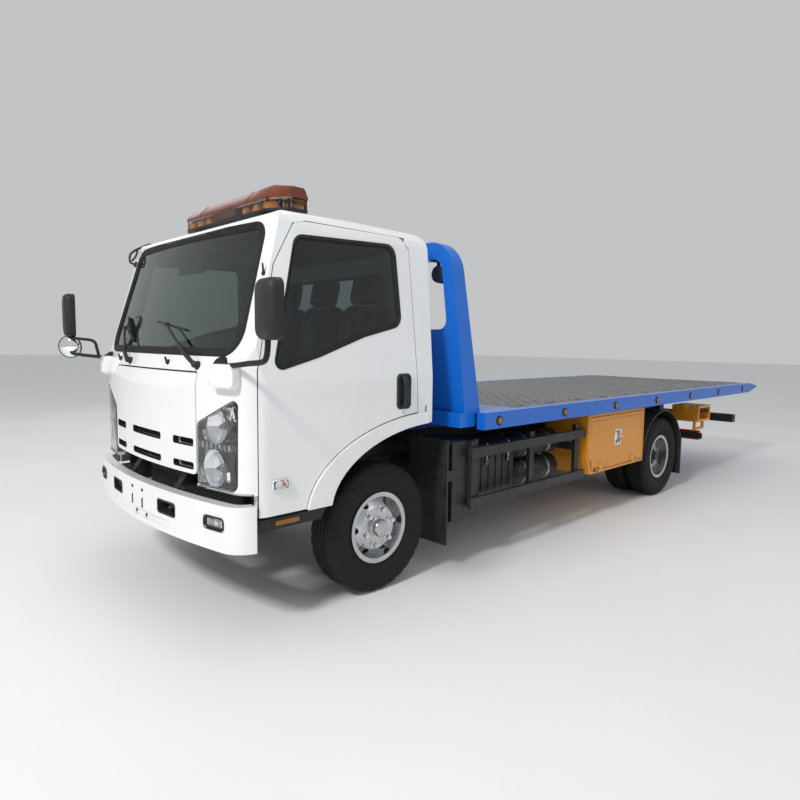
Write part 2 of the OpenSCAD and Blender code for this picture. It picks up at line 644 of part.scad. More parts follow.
module lift_bar() color("#2b2d30") difference() {
  union() {
    span([lift_pin_x - 80, -inner_size[0] / 2, lift_pin_z - inner_size[1] / 2],
      [bar_x, inner_size[0] / 2, lift_pin_z + inner_size[1] / 2]);
    span([bar_x - bar_size / 2, -crossbar_l / 2, bar_z - bar_size / 2],
      [bar_x + bar_size / 2, crossbar_l / 2, bar_z + bar_size / 2]);
  }
  both_sides() translate([bar_x, fork_y, 0]) cylinder(d = fork_bore_d, h = 2 * bar_z);
}

// Cab: one volume from side, front and plan outlines, hollowed and split where the panels meet
half_w = cab_w / 2;
cab_back_x = front_x - 382;
cab_nose_x = front_x + 1063;
cab_z0 = 640;
front_z0 = 762;
roof_z = cab_top - 58;
screen_foot = [front_x + 1008, 1460];
screen_rake = 17;
screen_r = 6200;
screen_corner = 90;
waist_z = 1330;
tumblehome = 75;
module cab_side_outline(i) {
  polygon(round_outline([[cab_back_x + i, 600, 0], [cab_nose_x + 10 - i, 600, 0], [cab_nose_x + 10 - i, 1500, 0],
    [front_x + 805 - i, cab_top - 95, 60], [front_x + 690 - i, cab_top - 17 - i, 120],
    [front_x + 173, cab_top - i, 1500], [cab_back_x + i, cab_top - 20 - i, 90]]));
}
module cab_front_outline(i) {
  polygon(round_outline([[half_w - i, 600, 0], [half_w - i, waist_z, 600],
    [half_w - tumblehome - i, cab_top - i + 4, 120],
    [-half_w + tumblehome + i, cab_top - i + 4, 120], [-half_w + i, waist_z, 600], [-half_w + i, 600, 0]]));
}
module cab_volume(i) {
  intersection() {
    side_slab(-half_w - 40, half_w + 40) cab_side_outline(i);
    front_slab(cab_back_x - 40, cab_nose_x + 40) cab_front_outline(i);
    linear_extrude(cab_top + 50) nose_plan(cab_nose_x - i, half_w - i, nose_r - i, bumper_corner - i, cab_back_x - 40);
    screen_prism(i);
  }
}
module cab_shell(outer = 0, inner = wall) difference() {
  cab_volume(outer);
  cab_volume(inner);
}
// Wheel arch: a quarter ellipse, and the flare's outer edge
arch = [front_x - 400, 600];
arch_size = [840, 440];
flare_size = [996, 513];
flare_out = 18;
function arch_curve(size, t0, t1, n = 16) =
  [for (k = [0 : n]) let (t = t0 + (t1 - t0) * k / n) arch + [size[0] * cos(t), size[1] * sin(t)]];
module under_arch(size) {
  polygon(concat(arch_curve(size, 0, 90), [arch + [-300, size[1]], arch + [-300, -200], arch + [size[0], -200]]));
}

// Door outline in side view, and its window
door_front_x = front_x + 880;
door_rear_x = [front_x - 248, front_x - 210];
door_z0 = cab_z0 + 5;
door_edge = [front_x + 762, 1937];
door_top = [[front_x + 630, roof_z - 25, 40], [front_x + 555, roof_z - 5, 200], [front_x - 150, roof_z - 2, 50],
  [front_x - 210, roof_z - 75, 0]];
module door_outline(grow) {
  g = [flare_size[0] + door_gap - grow, flare_size[1] + door_gap - grow];
  polygon(concat(
    round_outline([[door_front_x + grow, door_z0 - grow, 0], [door_front_x + grow, 1400, 0],
      [door_edge[0] + grow, door_edge[1], 0],
      for (p = door_top) [p[0] + (p[0] > front_x ? grow : -grow), p[1] + grow, p[2]],
      [door_rear_x[0] - grow, 1130, 0]]),
    arch_curve(g, acos((door_rear_x[0] - grow - arch[0]) / g[0]), asin((door_z0 - grow - arch[1]) / g[1]))));
}
module window_outline() {
  polygon(round_outline([[front_x + 788, 1395, 35], [front_x + 620, 2098, 60], [front_x - 87, 2125, 60],
    [front_x - 115, 1655, 70], [front_x + 180, 1585, 300], [front_x + 509, 1470, 300]]));
}
module left_side() intersection() {
  children();
  span([cab_back_x - 100, half_w - 180, 0], [nose_x, half_w + 100, cab_top + 100]);
}
module door_skin() left_side() difference() {
  intersection() {
    cab_shell();
    side_slab(0, half_w + 50) door_outline(0);
  }
  side_slab(0, half_w + 60) window_outline();
}
glass_in = 16;
module door_pane() left_side() intersection() {
  cab_shell(glass_in, glass_in + glass_t);
  side_slab(0, half_w + 50) window_outline();
}
module door_left() color("#eef0f1") door_skin();
module door_right() color("#eef0f1") mirror([0, 1, 0]) door_skin();
module door_glass_left() color("#7d8b92") door_pane();
module door_glass_right() color("#7d8b92") mirror([0, 1, 0]) door_pane();

// Sides: wheel-arch flares, rear pillars and the doors' seal strips
pillar_in = wall + 22;
side_x0 = cab_back_x + wall;
module cab_sides() color("#eef0f1") both_sides() left_side() {
  intersection() {
    cab_shell(-flare_out, wall);
    side_slab(0, half_w + 100) difference() {
      under_arch(flare_size);
      under_arch(arch_size);
    }
    span([side_x0, 0, cab_z0], [nose_x, half_w + 100, cab_top]);
  }
  intersection() {
    cab_shell(0, pillar_in);
    side_slab(0, half_w + 100) difference() {
      translate([side_x0, arch[1] + arch_size[1]])
        square([door_rear_x[1] - side_x0 + 20, roof_z - arch[1] - arch_size[1]]);
      door_outline(door_gap);
      under_arch(arch_size);
      translate([side_x0, floor_rear_z]) square([pillar_in - wall, floor_t]);
    }
  }
  intersection() {
    cab_shell(wall + pad_fit, pillar_in);
    span([side_x0, 0, 1200], [door_rear_x[1] + 30, half_w, roof_z - 120]);
  }
}

// Roof, back wall with its window, and the front frame round the windscreen
module cab_roof() color("#eef0f1") intersection() {
  cab_shell();
  span([cab_back_x - 10, -half_w, roof_z], [nose_x, half_w, cab_top + 50]);
}
rear_window = [1040, 390, 60];
rear_window_z = 1815;
floor_rear_z = 1110;
module rear_window_outline() translate([0, rear_window_z]) round_rect(rear_window[0], rear_window[1], rear_window[2]);
module cab_back() color("#e6e8e9") difference() {
  intersection() {
    cab_shell();
    span([cab_back_x - 10, -half_w, arch[1] + arch_size[1]], [side_x0, half_w, roof_z]);
  }
  front_slab(cab_back_x - 20, side_x0 + 10) rear_window_outline();
}
module rear_glass() color("#5f6c72") front_slab(cab_back_x + 20, cab_back_x + 20 + glass_t) rear_window_outline();

screen_in = 12;
screen_half = [895, 835];
screen_z = [1478, cab_top - 85];
screen_corner_r = [120, 90];
module screen_outline() polygon(round_outline([[screen_half[0], screen_z[0], screen_corner_r[0]],
  [screen_half[1], screen_z[1], screen_corner_r[1]], [-screen_half[1], screen_z[1], screen_corner_r[1]],
  [-screen_half[0], screen_z[0], screen_corner_r[0]]], 6));
lid_half = 595;
lamp_lap = 3;
lid_z = [815, 1381];
lid_r = 30;
module lid_outline(inset) translate([0, (lid_z[0] + lid_z[1]) / 2])
  round_rect(2 * (lid_half - inset), lid_z[1] - lid_z[0] - 2 * inset, lid_r);
module lid_opening() polygon(round_outline([[lid_half, front_z0 - 10, 0], [lid_half, lid_z[1], lid_r],
  [-lid_half, lid_z[1], lid_r], [-lid_half, front_z0 - 10, 0]]));
lamp_pts = [[lid_half - lamp_lap, 772, 20], [915, 772, 45], [922, 1262, 30], [lid_half - lamp_lap, 1108, 45]];
module lamp_outline() polygon(round_outline(lamp_pts));
front_zone = [[front_x + 542, roof_z], [door_top[0][0] + door_gap, door_top[0][1]],
  [door_edge[0] + door_gap, door_edge[1]], [door_front_x + door_gap, 1400],
  [door_front_x + door_gap, front_z0], [nose_x, front_z0], [nose_x, roof_z]];
stop_in = wall + 34;
module cab_front() color("#eef0f1") {
  difference() {
    intersection() {
      cab_shell();
      side_slab(-half_w - 10, half_w + 10) polygon(front_zone);
    }
    front_slab(front_x + 600, nose_x) screen_outline();
    front_slab(front_x + 600, nose_x) lid_opening();
    both_sides() front_slab(front_x + 600, nose_x) lamp_outline();
  }
  difference() {
    intersection() {
      cab_shell(wall - bite, stop_in);
      span([front_x + 900, -lid_half - 22, lamp_pts[3][1] + 60], [nose_x, lid_half + 22, lid_z[1] - 120]);
    }
    front_slab(front_x + 800, nose_x) square([2 * lid_half - 30, 2 * lid_z[1] - 30], center = true);
    intersection() {
      cab_shell(wall - bite - 1, wall + pad_fit);
      front_slab(front_x + 800, nose_x) lid_opening();
    }
  }
}
module screen_prism(i) translate([screen_foot[0] - i, 0, screen_foot[1]]) rotate([0, -screen_rake, 0])
  translate([0, 0, -1500]) linear_extrude(3000) nose_plan(0, half_w + 8 - i, screen_r, screen_corner - i, -2200);
// Points along the glass from one side to the other, a depth d behind its face
function screen_arc(d, dir) = [for (i = [-24 : 24])
  [-d - pow(i * dir * 40, 2) / (2 * screen_r), i * dir * 40]];
module windscreen() color("#55636a") intersection() {
  translate([screen_foot[0] - screen_in, 0, screen_foot[1]]) rotate([0, -screen_rake, 0])
    translate([0, 0, -1500]) linear_extrude(3000)
      polygon(concat(screen_arc(0, 1), screen_arc(glass_t + 1, -1)));
  front_slab(front_x + 700, nose_x) screen_outline();
}
// Lid in the nose with two rows of slots; columns: middle y, middle z, width, height
slot_table = [[0, 996, 420, 44], [458, 996, 208, 44], [-458, 996, 208, 44],
  [0, 867, 420, 40], [458, 867, 208, 40], [-458, 867, 208, 40]];
module front_lid() color("#eef0f1") difference() {
  intersection() {
    cab_shell();
    front_slab(front_x + 600, nose_x) lid_outline(door_gap + lamp_lap);
  }
  for (s = slot_table)
    front_slab(front_x + 600, nose_x) translate([s[0], s[1]]) round_rect(s[2], s[3], 14);
}
lamp_depth = 70;
module headlamps() color("#cfd6da") both_sides() intersection() {
  cab_shell(0, lamp_depth);
  front_slab(front_x + 900, nose_x) lamp_outline();
}

// Floor with footwells, the tunnel over the engine, firewall, steps and tilt eyes
foot_z = rail_top + 15;
floor_t = 40;
floor_half = half_w - pillar_in - 1;
tunnel_half = 350;
firewall_x = front_x + 870;
cab_pivot = [front_x + 990, 690];
cab_pin_d = 40;
cab_eye_d = 76;
pivot_y = [296, 352];
step_x = [front_x + 870, front_x + 490];
step_z = [566, 626];
floor_top_z = floor_rear_z + floor_t;
module footwell() polygon([[firewall_x, foot_z], [firewall_x, floor_top_z], [firewall_x - floor_t, floor_top_z],
  [firewall_x - floor_t, foot_z + floor_t], [front_x + 520, foot_z + floor_t], [front_x + 330, floor_top_z],
  [side_x0, floor_top_z], [side_x0, floor_rear_z], [front_x + 300, floor_rear_z], [front_x + 480, foot_z]]);
module cab_floor() color("#2a2c2e") {
  difference() {
    union() {
      side_slab(-floor_half, floor_half) footwell();
      side_slab(-tunnel_half - floor_t, tunnel_half + floor_t)
        polygon([[side_x0 + 300, floor_rear_z], [firewall_x - floor_t, foot_z], [firewall_x, foot_z],
          [firewall_x, floor_top_z], [side_x0 + 300, floor_top_z]]);
    }
    side_slab(-tunnel_half, tunnel_half)
      polygon([[side_x0, foot_z - 100], [firewall_x - floor_t, foot_z - 100],
        [firewall_x - floor_t, floor_rear_z], [side_x0, floor_rear_z]]);
  }
  both_sides() {
    difference() {
      union() {
        side_slab(pivot_y[0], pivot_y[1])
          polygon([[firewall_x - bite, foot_z + 10], [firewall_x - bite, foot_z + 200],
            [cab_pivot[0] + 20, cab_pivot[1] + 30], [cab_pivot[0], cab_pivot[1]],
            [cab_pivot[0] - 36, cab_pivot[1] + 14]]);
        y_bar(cab_pivot[0], cab_pivot[1], pivot_y[0], pivot_y[1], cab_eye_d);
      }
      y_bar(cab_pivot[0], cab_pivot[1], pivot_y[0] - 1, pivot_y[1] + 1, cab_pin_d + 2 * run_fit);
    }
    difference() {
      side_slab(floor_half - 150, half_w - 18)
        polygon([[step_x[0], step_z[0]], [step_x[0], step_z[1]], [step_x[1] - 40, step_z[1]], [step_x[1], step_z[0]]]);
      span([step_x[0] - 40, floor_half - 120, step_z[1] - 25], [step_x[1] + 40, half_w - 40, step_z[1] + 1]);
    }
    for (x = [step_x[0] - 20, step_x[1] + 10])
      span([x - 30, floor_half - 150, step_z[1] - 30], [x + 20, floor_half - 125, foot_z + 10]);
  }
}

// Inside the cab
wheel_c = [front_x + 500, 460, 1500];
column_lean = 40;
column_d = 30;
wheel_r = 205;
dash_z = floor_top_z;
module on_column() translate(wheel_c) rotate([0, -column_lean, 0]) children();
module dashboard() color("#2f3134") intersection() {
  difference() {
    union() {
      side_slab(-floor_half, floor_half) polygon(round_outline([[firewall_x - floor_t, dash_z, 0],
        [front_x + 985, dash_z, 0], [front_x + 985, 1460, 0], [firewall_x - 40, 1468, 30],
        [firewall_x - 200, 1440, 60], [firewall_x - 235, 1330, 40], [firewall_x - 150, dash_z, 0]]));
      on_column() translate([0, 0, -360]) cylinder(d = 90, h = 310);
    }
    on_column() translate([0, 0, -330]) cylinder(d = column_d + 2 * run_fit, h = 400);
  }
  cab_volume(stop_in + 3);
}
seat_y = [-470, 0, 470];
module seat(y, w) translate([side_x0 + 30, y, floor_top_z]) {
  side_slab(-w / 2, w / 2)
    polygon(round_outline([[80, 0, 0], [560, 0, 20], [600, 190, 70], [120, 150, 0], [80, 150, 0]]));
  side_slab(-w / 2, w / 2)
    polygon(round_outline([[60, 120, 20], [180, 140, 30], [90, 660, 50], [-10, 660, 30]]));
  side_slab(-w / 4, w / 4)
    polygon(round_outline([[0, 640, 0], [80, 640, 0], [70, 850, 40], [-12, 850, 30]]));
}
module seats() color("#3b3d40") for (y = seat_y) seat(y, 450);
module steering_wheel() color("#1b1c1e") on_column() {
  rotate_extrude() translate([wheel_r, 0]) circle(d = 32);
  cylinder(d = 110, h = 40, center = true);
  for (a = [90, 210, 330]) rotate([0, 90, a]) cylinder(d = 26, h = wheel_r);
  translate([0, 0, -325]) cylinder(d = column_d, h = 320);
}

// Mirrors on arms, the left one on a short arm, the right one with a round blind-spot mirror
module capsule(a, b, d) hull() {
  translate(a) sphere(d = d, $fn = 16);
  translate(b) sphere(d = d, $fn = 16);
}
module mirror_head(c, w, h) translate(c) rotate([0, 0, -8]) rotate([90, 0, 90])
  linear_extrude(70, center = true) round_rect(w, h, 50);
left_foot = [front_x + 970, 800, 1415];
left_head = [front_x + 1060, 1375, 1683];
right_foot = [front_x + 962, -870, 1410];
right_head = [front_x + 1070, -1415, 1720];
left_arm = [40, 400, 80];
right_arm = [112, -400, 60];
module mirrors() color("#1a1b1d") difference() {
  union() {
    capsule(left_foot, left_foot + left_arm, 30);
    capsule(left_foot + left_arm, left_head - [0, 0, 40], 30);
    mirror_head(left_head, 180, 266);
    capsule(right_foot, right_foot + right_arm, 30);
    capsule(right_foot + right_arm, right_head - [0, 0, 40], 30);
    mirror_head(right_head, 190, 320);
    translate(right_head - [0, 0, 235]) rotate([0, 90, 0]) cylinder(d = 170, h = 40, center = true);
  }
  cab_volume(0);
}

// Wipers: pivots on the cowl, arms and blades over the glass; columns: pivot y, arm's swing, blade length
wiper_table = [[570, 62, 620], [-330, 42, 520]];
arm_l = 470;
module wiper(y, swing, blade_l) {
  follow = atan((2 * y - arm_l * sin(swing)) / (2 * screen_r));
  translate([screen_foot[0], y, screen_foot[1]]) rotate([0, -screen_rake, 0])
    translate([-y * y / (2 * screen_r), 0, -50]) {
      rotate([0, 90, asin(y / screen_r)]) cylinder(d = 34, h = 30);
      rotate([0, 0, follow]) {
        rotate([swing, 0, 0]) translate([14, -10, 0]) cube([14, 20, arm_l]);
        translate([6, -sin(swing) * arm_l, cos(swing) * arm_l]) rotate([swing + 16, 0, 0])
          translate([0, -8, -blade_l / 2]) cube([22, 16, blade_l]);
      }
    }
}
module wipers() color("#161718") for (w = wiper_table) wiper(w[0], w[1], w[2]);

// Amber light bar on the roof
bar_l = 1280;
bar_x_mid = front_x + 400;
bar_z0 = cab_top + 45;
bar_h = 165;
bar_depth = 280;
bar_foot_y = bar_l / 2 - 210;
bar_taper = 130;
bar_crown = 190;
bar_end_depth = 140;
module light_bar() color("#e9890f") difference() {
  union() {
    intersection() {
      side_slab(-bar_l / 2, bar_l / 2) polygon([[bar_x_mid - bar_depth / 2, bar_z0],
        [bar_x_mid + bar_depth / 2, bar_z0],
        [bar_x_mid + bar_crown / 2, bar_z0 + bar_h], [bar_x_mid - bar_crown / 2, bar_z0 + bar_h]]);
      translate([bar_x_mid, 0, bar_z0]) linear_extrude(bar_h) polygon([[-bar_depth / 2, bar_l / 2 - bar_taper],
        [-bar_end_depth / 2, bar_l / 2], [bar_end_depth / 2, bar_l / 2], [bar_depth / 2, bar_l / 2 - bar_taper],
        [bar_depth / 2, bar_taper - bar_l / 2], [bar_end_depth / 2, -bar_l / 2], [-bar_end_depth / 2, -bar_l / 2],
        [-bar_depth / 2, bar_taper - bar_l / 2]]);
      front_slab(bar_x_mid - bar_depth, bar_x_mid + bar_depth) polygon([[bar_l / 2, bar_z0], [bar_l / 2, bar_z0 + 50],
        [bar_l / 2 - 70, bar_z0 + bar_h], [70 - bar_l / 2, bar_z0 + bar_h],
        [-bar_l / 2, bar_z0 + 50], [-bar_l / 2, bar_z0]]);
    }
    for (y = [-bar_foot_y, bar_foot_y])
      span([bar_x_mid - 70, y - 60, cab_top - 30], [bar_x_mid + 70, y + 60, bar_z0 + 20]);
  }
  cab_volume(0);
}

// Steering knuckles, tie rod and wheels
kp = [front_x, king_pin_y];
arm_back = 150;
tie_z = 325;
ear_gap = 1;
tie_pin_d = 24;
module knuckle() {
  translate([kp[0], kp[1], tyre_r - 97]) cylinder(r = kp_bore_r - run_fit, h = 194);
  for (z = [tyre_r - 97, tyre_r + eye_h / 2 + ear_gap])
    translate([kp[0], kp[1], z]) {
      cylinder(r = eye_r, h = 97 - eye_h / 2 - ear_gap);
      translate([-eye_r, 0, 0]) cube([2 * eye_r, 82, 97 - eye_h / 2 - ear_gap]);
    }
  y_bar(kp[0], tyre_r, kp[1] + 52, kp[1] + 82, 194);
  y_bar(kp[0], tyre_r, kp[1] + 60, front_tyre_y + 60, spindle_d);
  translate([kp[0] - arm_back, kp[1] - 22, tyre_r - 97]) cube([arm_back, 44, 30]);
  translate([kp[0] - arm_back, kp[1], tie_z - 60]) cylinder(d = tie_pin_d, h = 60);
}
module knuckle_left() color("#2e3033") knuckle();
module knuckle_right() color("#2e3033") mirror([0, 1, 0]) knuckle();
module tie_rod() color("#3a3c3f") difference() {
  union() {
    y_bar(kp[0] - arm_back, tie_z - 40, -king_pin_y + 20, king_pin_y - 20, 30);
    both_sides() translate([kp[0] - arm_back, king_pin_y, tie_z - 58]) cylinder(d = 52, h = 36);
  }
  translate([kp[0] - arm_back, king_pin_y, 0]) cylinder(d = tie_pin_d + 2 * run_fit, h = tyre_r);
  translate([kp[0] - arm_back, -king_pin_y, 0]) cylinder(d = tie_pin_d + 2, h = tyre_r);
}
seat_r = rim_r - 16;
module spun() rotate([-90, 0, 0]) rotate_extrude($fn = 96) children();
module tyre_at(y) translate([0, y, 0]) spun() polygon(round_outline([
  [seat_r, -tyre_w * 0.36, 0], [rim_r + 12, -tyre_w * 0.40, 10], [(rim_r + tyre_r) / 2, -tyre_w / 2, 40],
  [tyre_r - 22, -tyre_w * 0.46, 18], [tyre_r, -tyre_w * 0.34, 14], [tyre_r, tyre_w * 0.34, 14],
  [tyre_r - 22, tyre_w * 0.46, 18], [(rim_r + tyre_r) / 2, tyre_w / 2, 40], [rim_r + 12, tyre_w * 0.40, 10],
  [seat_r, tyre_w * 0.36, 0]], 4));
// Rim: barrel with flanges and a disc; bow is how far the disc stands out of the rim's middle
hole_count = 6;
hole_d = 44;
hole_ring_r = 168;
rim_t = 12;
hub_r = 95;
flange_r = 132;
cone_r = seat_r - rim_t / 2;
module rim_flange() polygon([[seat_r - rim_t, tyre_w * 0.3], [seat_r, tyre_w * 0.3], [seat_r, tyre_w * 0.36],
  [rim_r, tyre_w * 0.36 + 6], [rim_r, tyre_w * 0.36 + 13], [seat_r - rim_t, tyre_w * 0.36 + 9]]);
module rim_at(y, bow, bore, side) translate([0, y, 0]) difference() {
  union() {
    spun() translate([seat_r - rim_t, -tyre_w * 0.32]) square([rim_t, tyre_w * 0.64]);
    spun() rim_flange();
    spun() mirror([0, 1]) rim_flange();
    spun() polygon([[bore / 2, bow - 8], [bore / 2, bow + 40], [flange_r, bow + 40], [flange_r + 10, bow + 34],
      [cone_r, side * 25], [cone_r, side * 25 - 14], [flange_r + 6, bow + 20], [flange_r - 4, bow + 26],
      [hub_r + 3, bow + 26], [hub_r, bow - 8]]);
  }
  for (k = [0 : hole_count - 1]) rotate([0, 360 * k / hole_count, 0]) translate([hole_ring_r, 0, 0])
    rotate([90, 0, 0]) cylinder(d = hole_d, h = 2 * tyre_w, center = true);
}
module at_axle(x) translate([x, 0, tyre_r]) children();
twin_y = rear_tyre_y - tyre_w - twin_gap;
module front_rim() at_axle(front_x) rim_at(front_tyre_y, 30, spindle_d + 2 * run_fit, 1);
module rear_rims() at_axle(rear_x) {
  rim_at(rear_tyre_y, -75, rear_spindle_d + 2 * run_fit, -1);
  rim_at(twin_y, 30, rear_spindle_d + 2 * run_fit, 1);
}
module rim_front_left() color("#c6c9cc") front_rim();
module rim_front_right() color("#c6c9cc") mirror([0, 1, 0]) front_rim();
module rims_rear_left() color("#c6c9cc") rear_rims();
module rims_rear_right() color("#c6c9cc") mirror([0, 1, 0]) rear_rims();
module tyre_front_left() color("#17181a") at_axle(front_x) tyre_at(front_tyre_y);
module tyre_front_right() color("#17181a") at_axle(front_x) tyre_at(-front_tyre_y);
module tyres_rear_left() color("#17181a") at_axle(rear_x) for (y = [rear_tyre_y, twin_y]) tyre_at(y);
module tyres_rear_right() color("#17181a") at_axle(rear_x) for (y = [rear_tyre_y, twin_y]) tyre_at(-y);

chassis_frame();
front_axle();
rear_axle();
engine();
front_bumper();
fog_lamps();
fuel_tank();
side_guards();
rear_fenders();
tool_boxes();
control_boxes();
tail_lamps();
tool_door_left();
tool_door_right();
tilt_frame();
tilt_barrels();
tilt_rods();
bed_deck();
bed_rails();
bed_sills();
bed_frame();
headboard();
bed_lamps();
winch();
lift_boom();
lift_bar();
cab_floor();
cab_back();
cab_roof();
cab_sides();
cab_front();
windscreen();
rear_glass();
front_lid();
headlamps();
dashboard();
seats();
steering_wheel();
mirrors();
wipers();
light_bar();
door_left();
door_right();
door_glass_left();
door_glass_right();
knuckle_left();
knuckle_right();
tie_rod();
rim_front_left();
tyre_front_left();
rim_front_right();
tyre_front_right();
rims_rear_left();
tyres_rear_left();
rims_rear_right();
tyres_rear_right();
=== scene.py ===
import math

import bmesh
import bpy
from mathutils import Matrix, Vector, noise as mnoise
from mathutils.bvhtree import BVHTree


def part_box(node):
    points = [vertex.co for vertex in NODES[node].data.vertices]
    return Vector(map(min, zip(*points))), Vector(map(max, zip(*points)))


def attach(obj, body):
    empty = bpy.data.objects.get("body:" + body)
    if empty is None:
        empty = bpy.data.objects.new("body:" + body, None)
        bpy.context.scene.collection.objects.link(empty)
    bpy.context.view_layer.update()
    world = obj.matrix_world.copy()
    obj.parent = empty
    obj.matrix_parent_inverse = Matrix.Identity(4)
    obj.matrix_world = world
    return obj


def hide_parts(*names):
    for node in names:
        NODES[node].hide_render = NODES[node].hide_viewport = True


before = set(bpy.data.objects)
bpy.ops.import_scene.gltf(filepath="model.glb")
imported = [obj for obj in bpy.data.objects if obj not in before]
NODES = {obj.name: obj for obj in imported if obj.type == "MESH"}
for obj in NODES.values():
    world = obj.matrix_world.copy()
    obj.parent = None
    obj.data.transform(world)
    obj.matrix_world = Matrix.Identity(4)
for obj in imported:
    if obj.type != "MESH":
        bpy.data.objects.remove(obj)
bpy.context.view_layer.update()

SCENE = bpy.context.scene

# Main places of the truck, in metres, as in the part's source
FRONT_X, REAR_X = 2.727, -1.088
TYRE_R = 0.403
FRONT_TYRE_Y, REAR_TYRE_Y, TWIN_Y = 0.840, 0.955, 0.715
DECK_Z, BED_HALF = 1.082, 1.135
SIDES = (("left", 1), ("right", -1))


# Materials

class Look:
    """A node material: constants sit on its shader, patterns are in object coordinates."""

    def __init__(self, name, base, rough, metal=0.0, **extra):
        self.mat = bpy.data.materials.new(name)
        self.mat.use_nodes = True
        self.mat.diffuse_color = (*base, 1)
        self.tree = self.mat.node_tree
        self.inputs = self.tree.nodes["Principled BSDF"].inputs
        for key, value in {"Base_Color": (*base, 1), "Roughness": rough, "Metallic": metal, **extra}.items():
            self.inputs[key.replace("_", " ")].default_value = value
        self.coords = self.node("TexCoord").outputs["Object"]

    def node(self, kind, links={}, values={}, **settings):
        """New node with its settings, its inputs' values and the outputs linked to them."""
        n = self.tree.nodes.new("ShaderNode" + kind)
        for key, value in settings.items():
            setattr(n, key, value)
        for key, value in values.items():
            n.inputs[key].default_value = value
        for key, out in links.items():
            self.tree.links.new(out, n.inputs[key])
        return n

    def set(self, socket, out):
        self.tree.links.new(out, self.inputs[socket])

    def noise(self, scale, detail=4.0, rough=0.55, stretch=None):
        at = self.coords
        if stretch:
            at = self.node("Mapping", {"Vector": at}, {"Scale": stretch}).outputs["Vector"]
        values = {"Scale": scale, "Detail": detail, "Roughness": rough}
        return self.node("TexNoise", {"Vector": at}, values).outputs["Fac"]

    def cells(self, scale):
        return self.node("TexVoronoi", {"Vector": self.coords}, {"Scale": scale}).outputs["Distance"]

    def ramp(self, fac, *stops):
        n = self.node("ValToRGB", {"Fac": fac})
        for e, (pos, color) in zip(n.color_ramp.elements, stops):
            e.position, e.color = pos, (*color, 1)
        return n.outputs["Color"]

    def spread(self, fac, lo, hi, a=0.3, b=0.7):
        """Values from a to b stretched to lo to hi."""
        values = {"From Min": a, "From Max": b, "To Min": lo, "To Max": hi}
        return self.node("MapRange", {"Value": fac}, values).outputs["Result"]

    def times(self, a, b):
        return self.node("Math", {0: a, 1: b}, operation="MULTIPLY").outputs[0]

    def mix(self, fac, base, color):
        return self.node("Mix", {"Factor": fac, "A": base}, {"B": (*color, 1)}, data_type="RGBA").outputs["Result"]

    def bump(self, height, strength, distance, socket="Normal"):
        values = {"Strength": strength, "Distance": distance}
        self.set(socket, self.node("Bump", {"Height": height}, values).outputs["Normal"])


def shade(color, k):
    return tuple(min(1.0, c * k) for c in color)


def paint(name, color, rough, coat, dust, worn=None):
    """Sprayed enamel: faint orange peel, broad tone changes, road dust low down and edges that may be worn."""
    k = Look(name, color, rough, Coat_Weight=coat, Coat_Roughness=0.06)
    tone = k.ramp(k.noise(1.6, 6), (0.25, shade(color, 0.93)), (0.75, shade(color, 1.03)))
    low = k.spread(k.node("SeparateXYZ", {0: k.coords}).outputs["Z"], dust, 0.0, 0.35, 1.15)
    tone = k.mix(k.times(low, k.spread(k.noise(9, 8), 0.2, 1.0)), tone, (0.32, 0.29, 0.25))
    if worn:
        sharp = k.spread(k.node("NewGeometry").outputs["Pointiness"], 0.0, 0.8, 0.53, 0.60)
        tone = k.mix(k.times(sharp, k.spread(k.noise(40), 0.0, 1.0, 0.42, 0.62)), tone, worn)
    k.set("Base Color", tone)
    k.set("Roughness", k.spread(k.noise(14, 6), rough * 0.8, rough * 1.35))
    k.bump(k.noise(520, 2), 0.035, 0.0006)
    return k.mat


def plastic(name, color, rough=0.5, grain=900, depth=0.25):
    """Moulded plastic with a fine leather-like grain."""
    k = Look(name, color, rough, Specular_IOR_Level=0.35)
    k.set("Base Color", k.ramp(k.noise(7, 5), (0.3, shade(color, 0.85)), (0.7, shade(color, 1.2))))
    k.set("Roughness", k.spread(k.noise(30, 5), rough * 0.85, rough * 1.2))
    k.bump(k.cells(grain), depth, 0.0004)
    return k.mat


def metal(name, color, rough, scratch, brushed=None, weight=1.0):
    k = Look(name, color, rough, weight)
    k.set("Base Color", k.ramp(k.noise(12, 6), (0.3, shade(color, 0.86)), (0.72, shade(color, 1.08))))
    fine = k.noise(160, 6, 0.6, brushed)
    k.set("Roughness", k.spread(fine, rough * 0.7, rough * 1.4))
    k.bump(fine, scratch, 0.0003)
    return k.mat


def rubber(name, color, rough=0.78, dust=(0.018, 0.0175, 0.017)):
    k = Look(name, color, rough, Specular_IOR_Level=0.25)
    k.set("Base Color", k.ramp(k.noise(18, 8, 0.65), (0.40, color), (0.90, dust)))
    k.set("Roughness", k.spread(k.noise(60, 4), rough * 0.85, min(1, rough * 1.15)))
    k.bump(k.noise(700, 3), 0.2, 0.0005)
    return k.mat


def glass(name, tint, rough=0.0, weight=1.0, ripple=0.0, scale=40, coat=0.0):
    k = Look(name, tint, rough, IOR=1.46, Transmission_Weight=weight, Coat_Weight=coat)
    k.set("Base Color", k.ramp(k.noise(3, 4), (0.3, shade(tint, 0.94)), (0.7, tint)))
    if ripple:
        k.bump(k.noise(scale, 2), ripple, 0.001)
    return k.mat


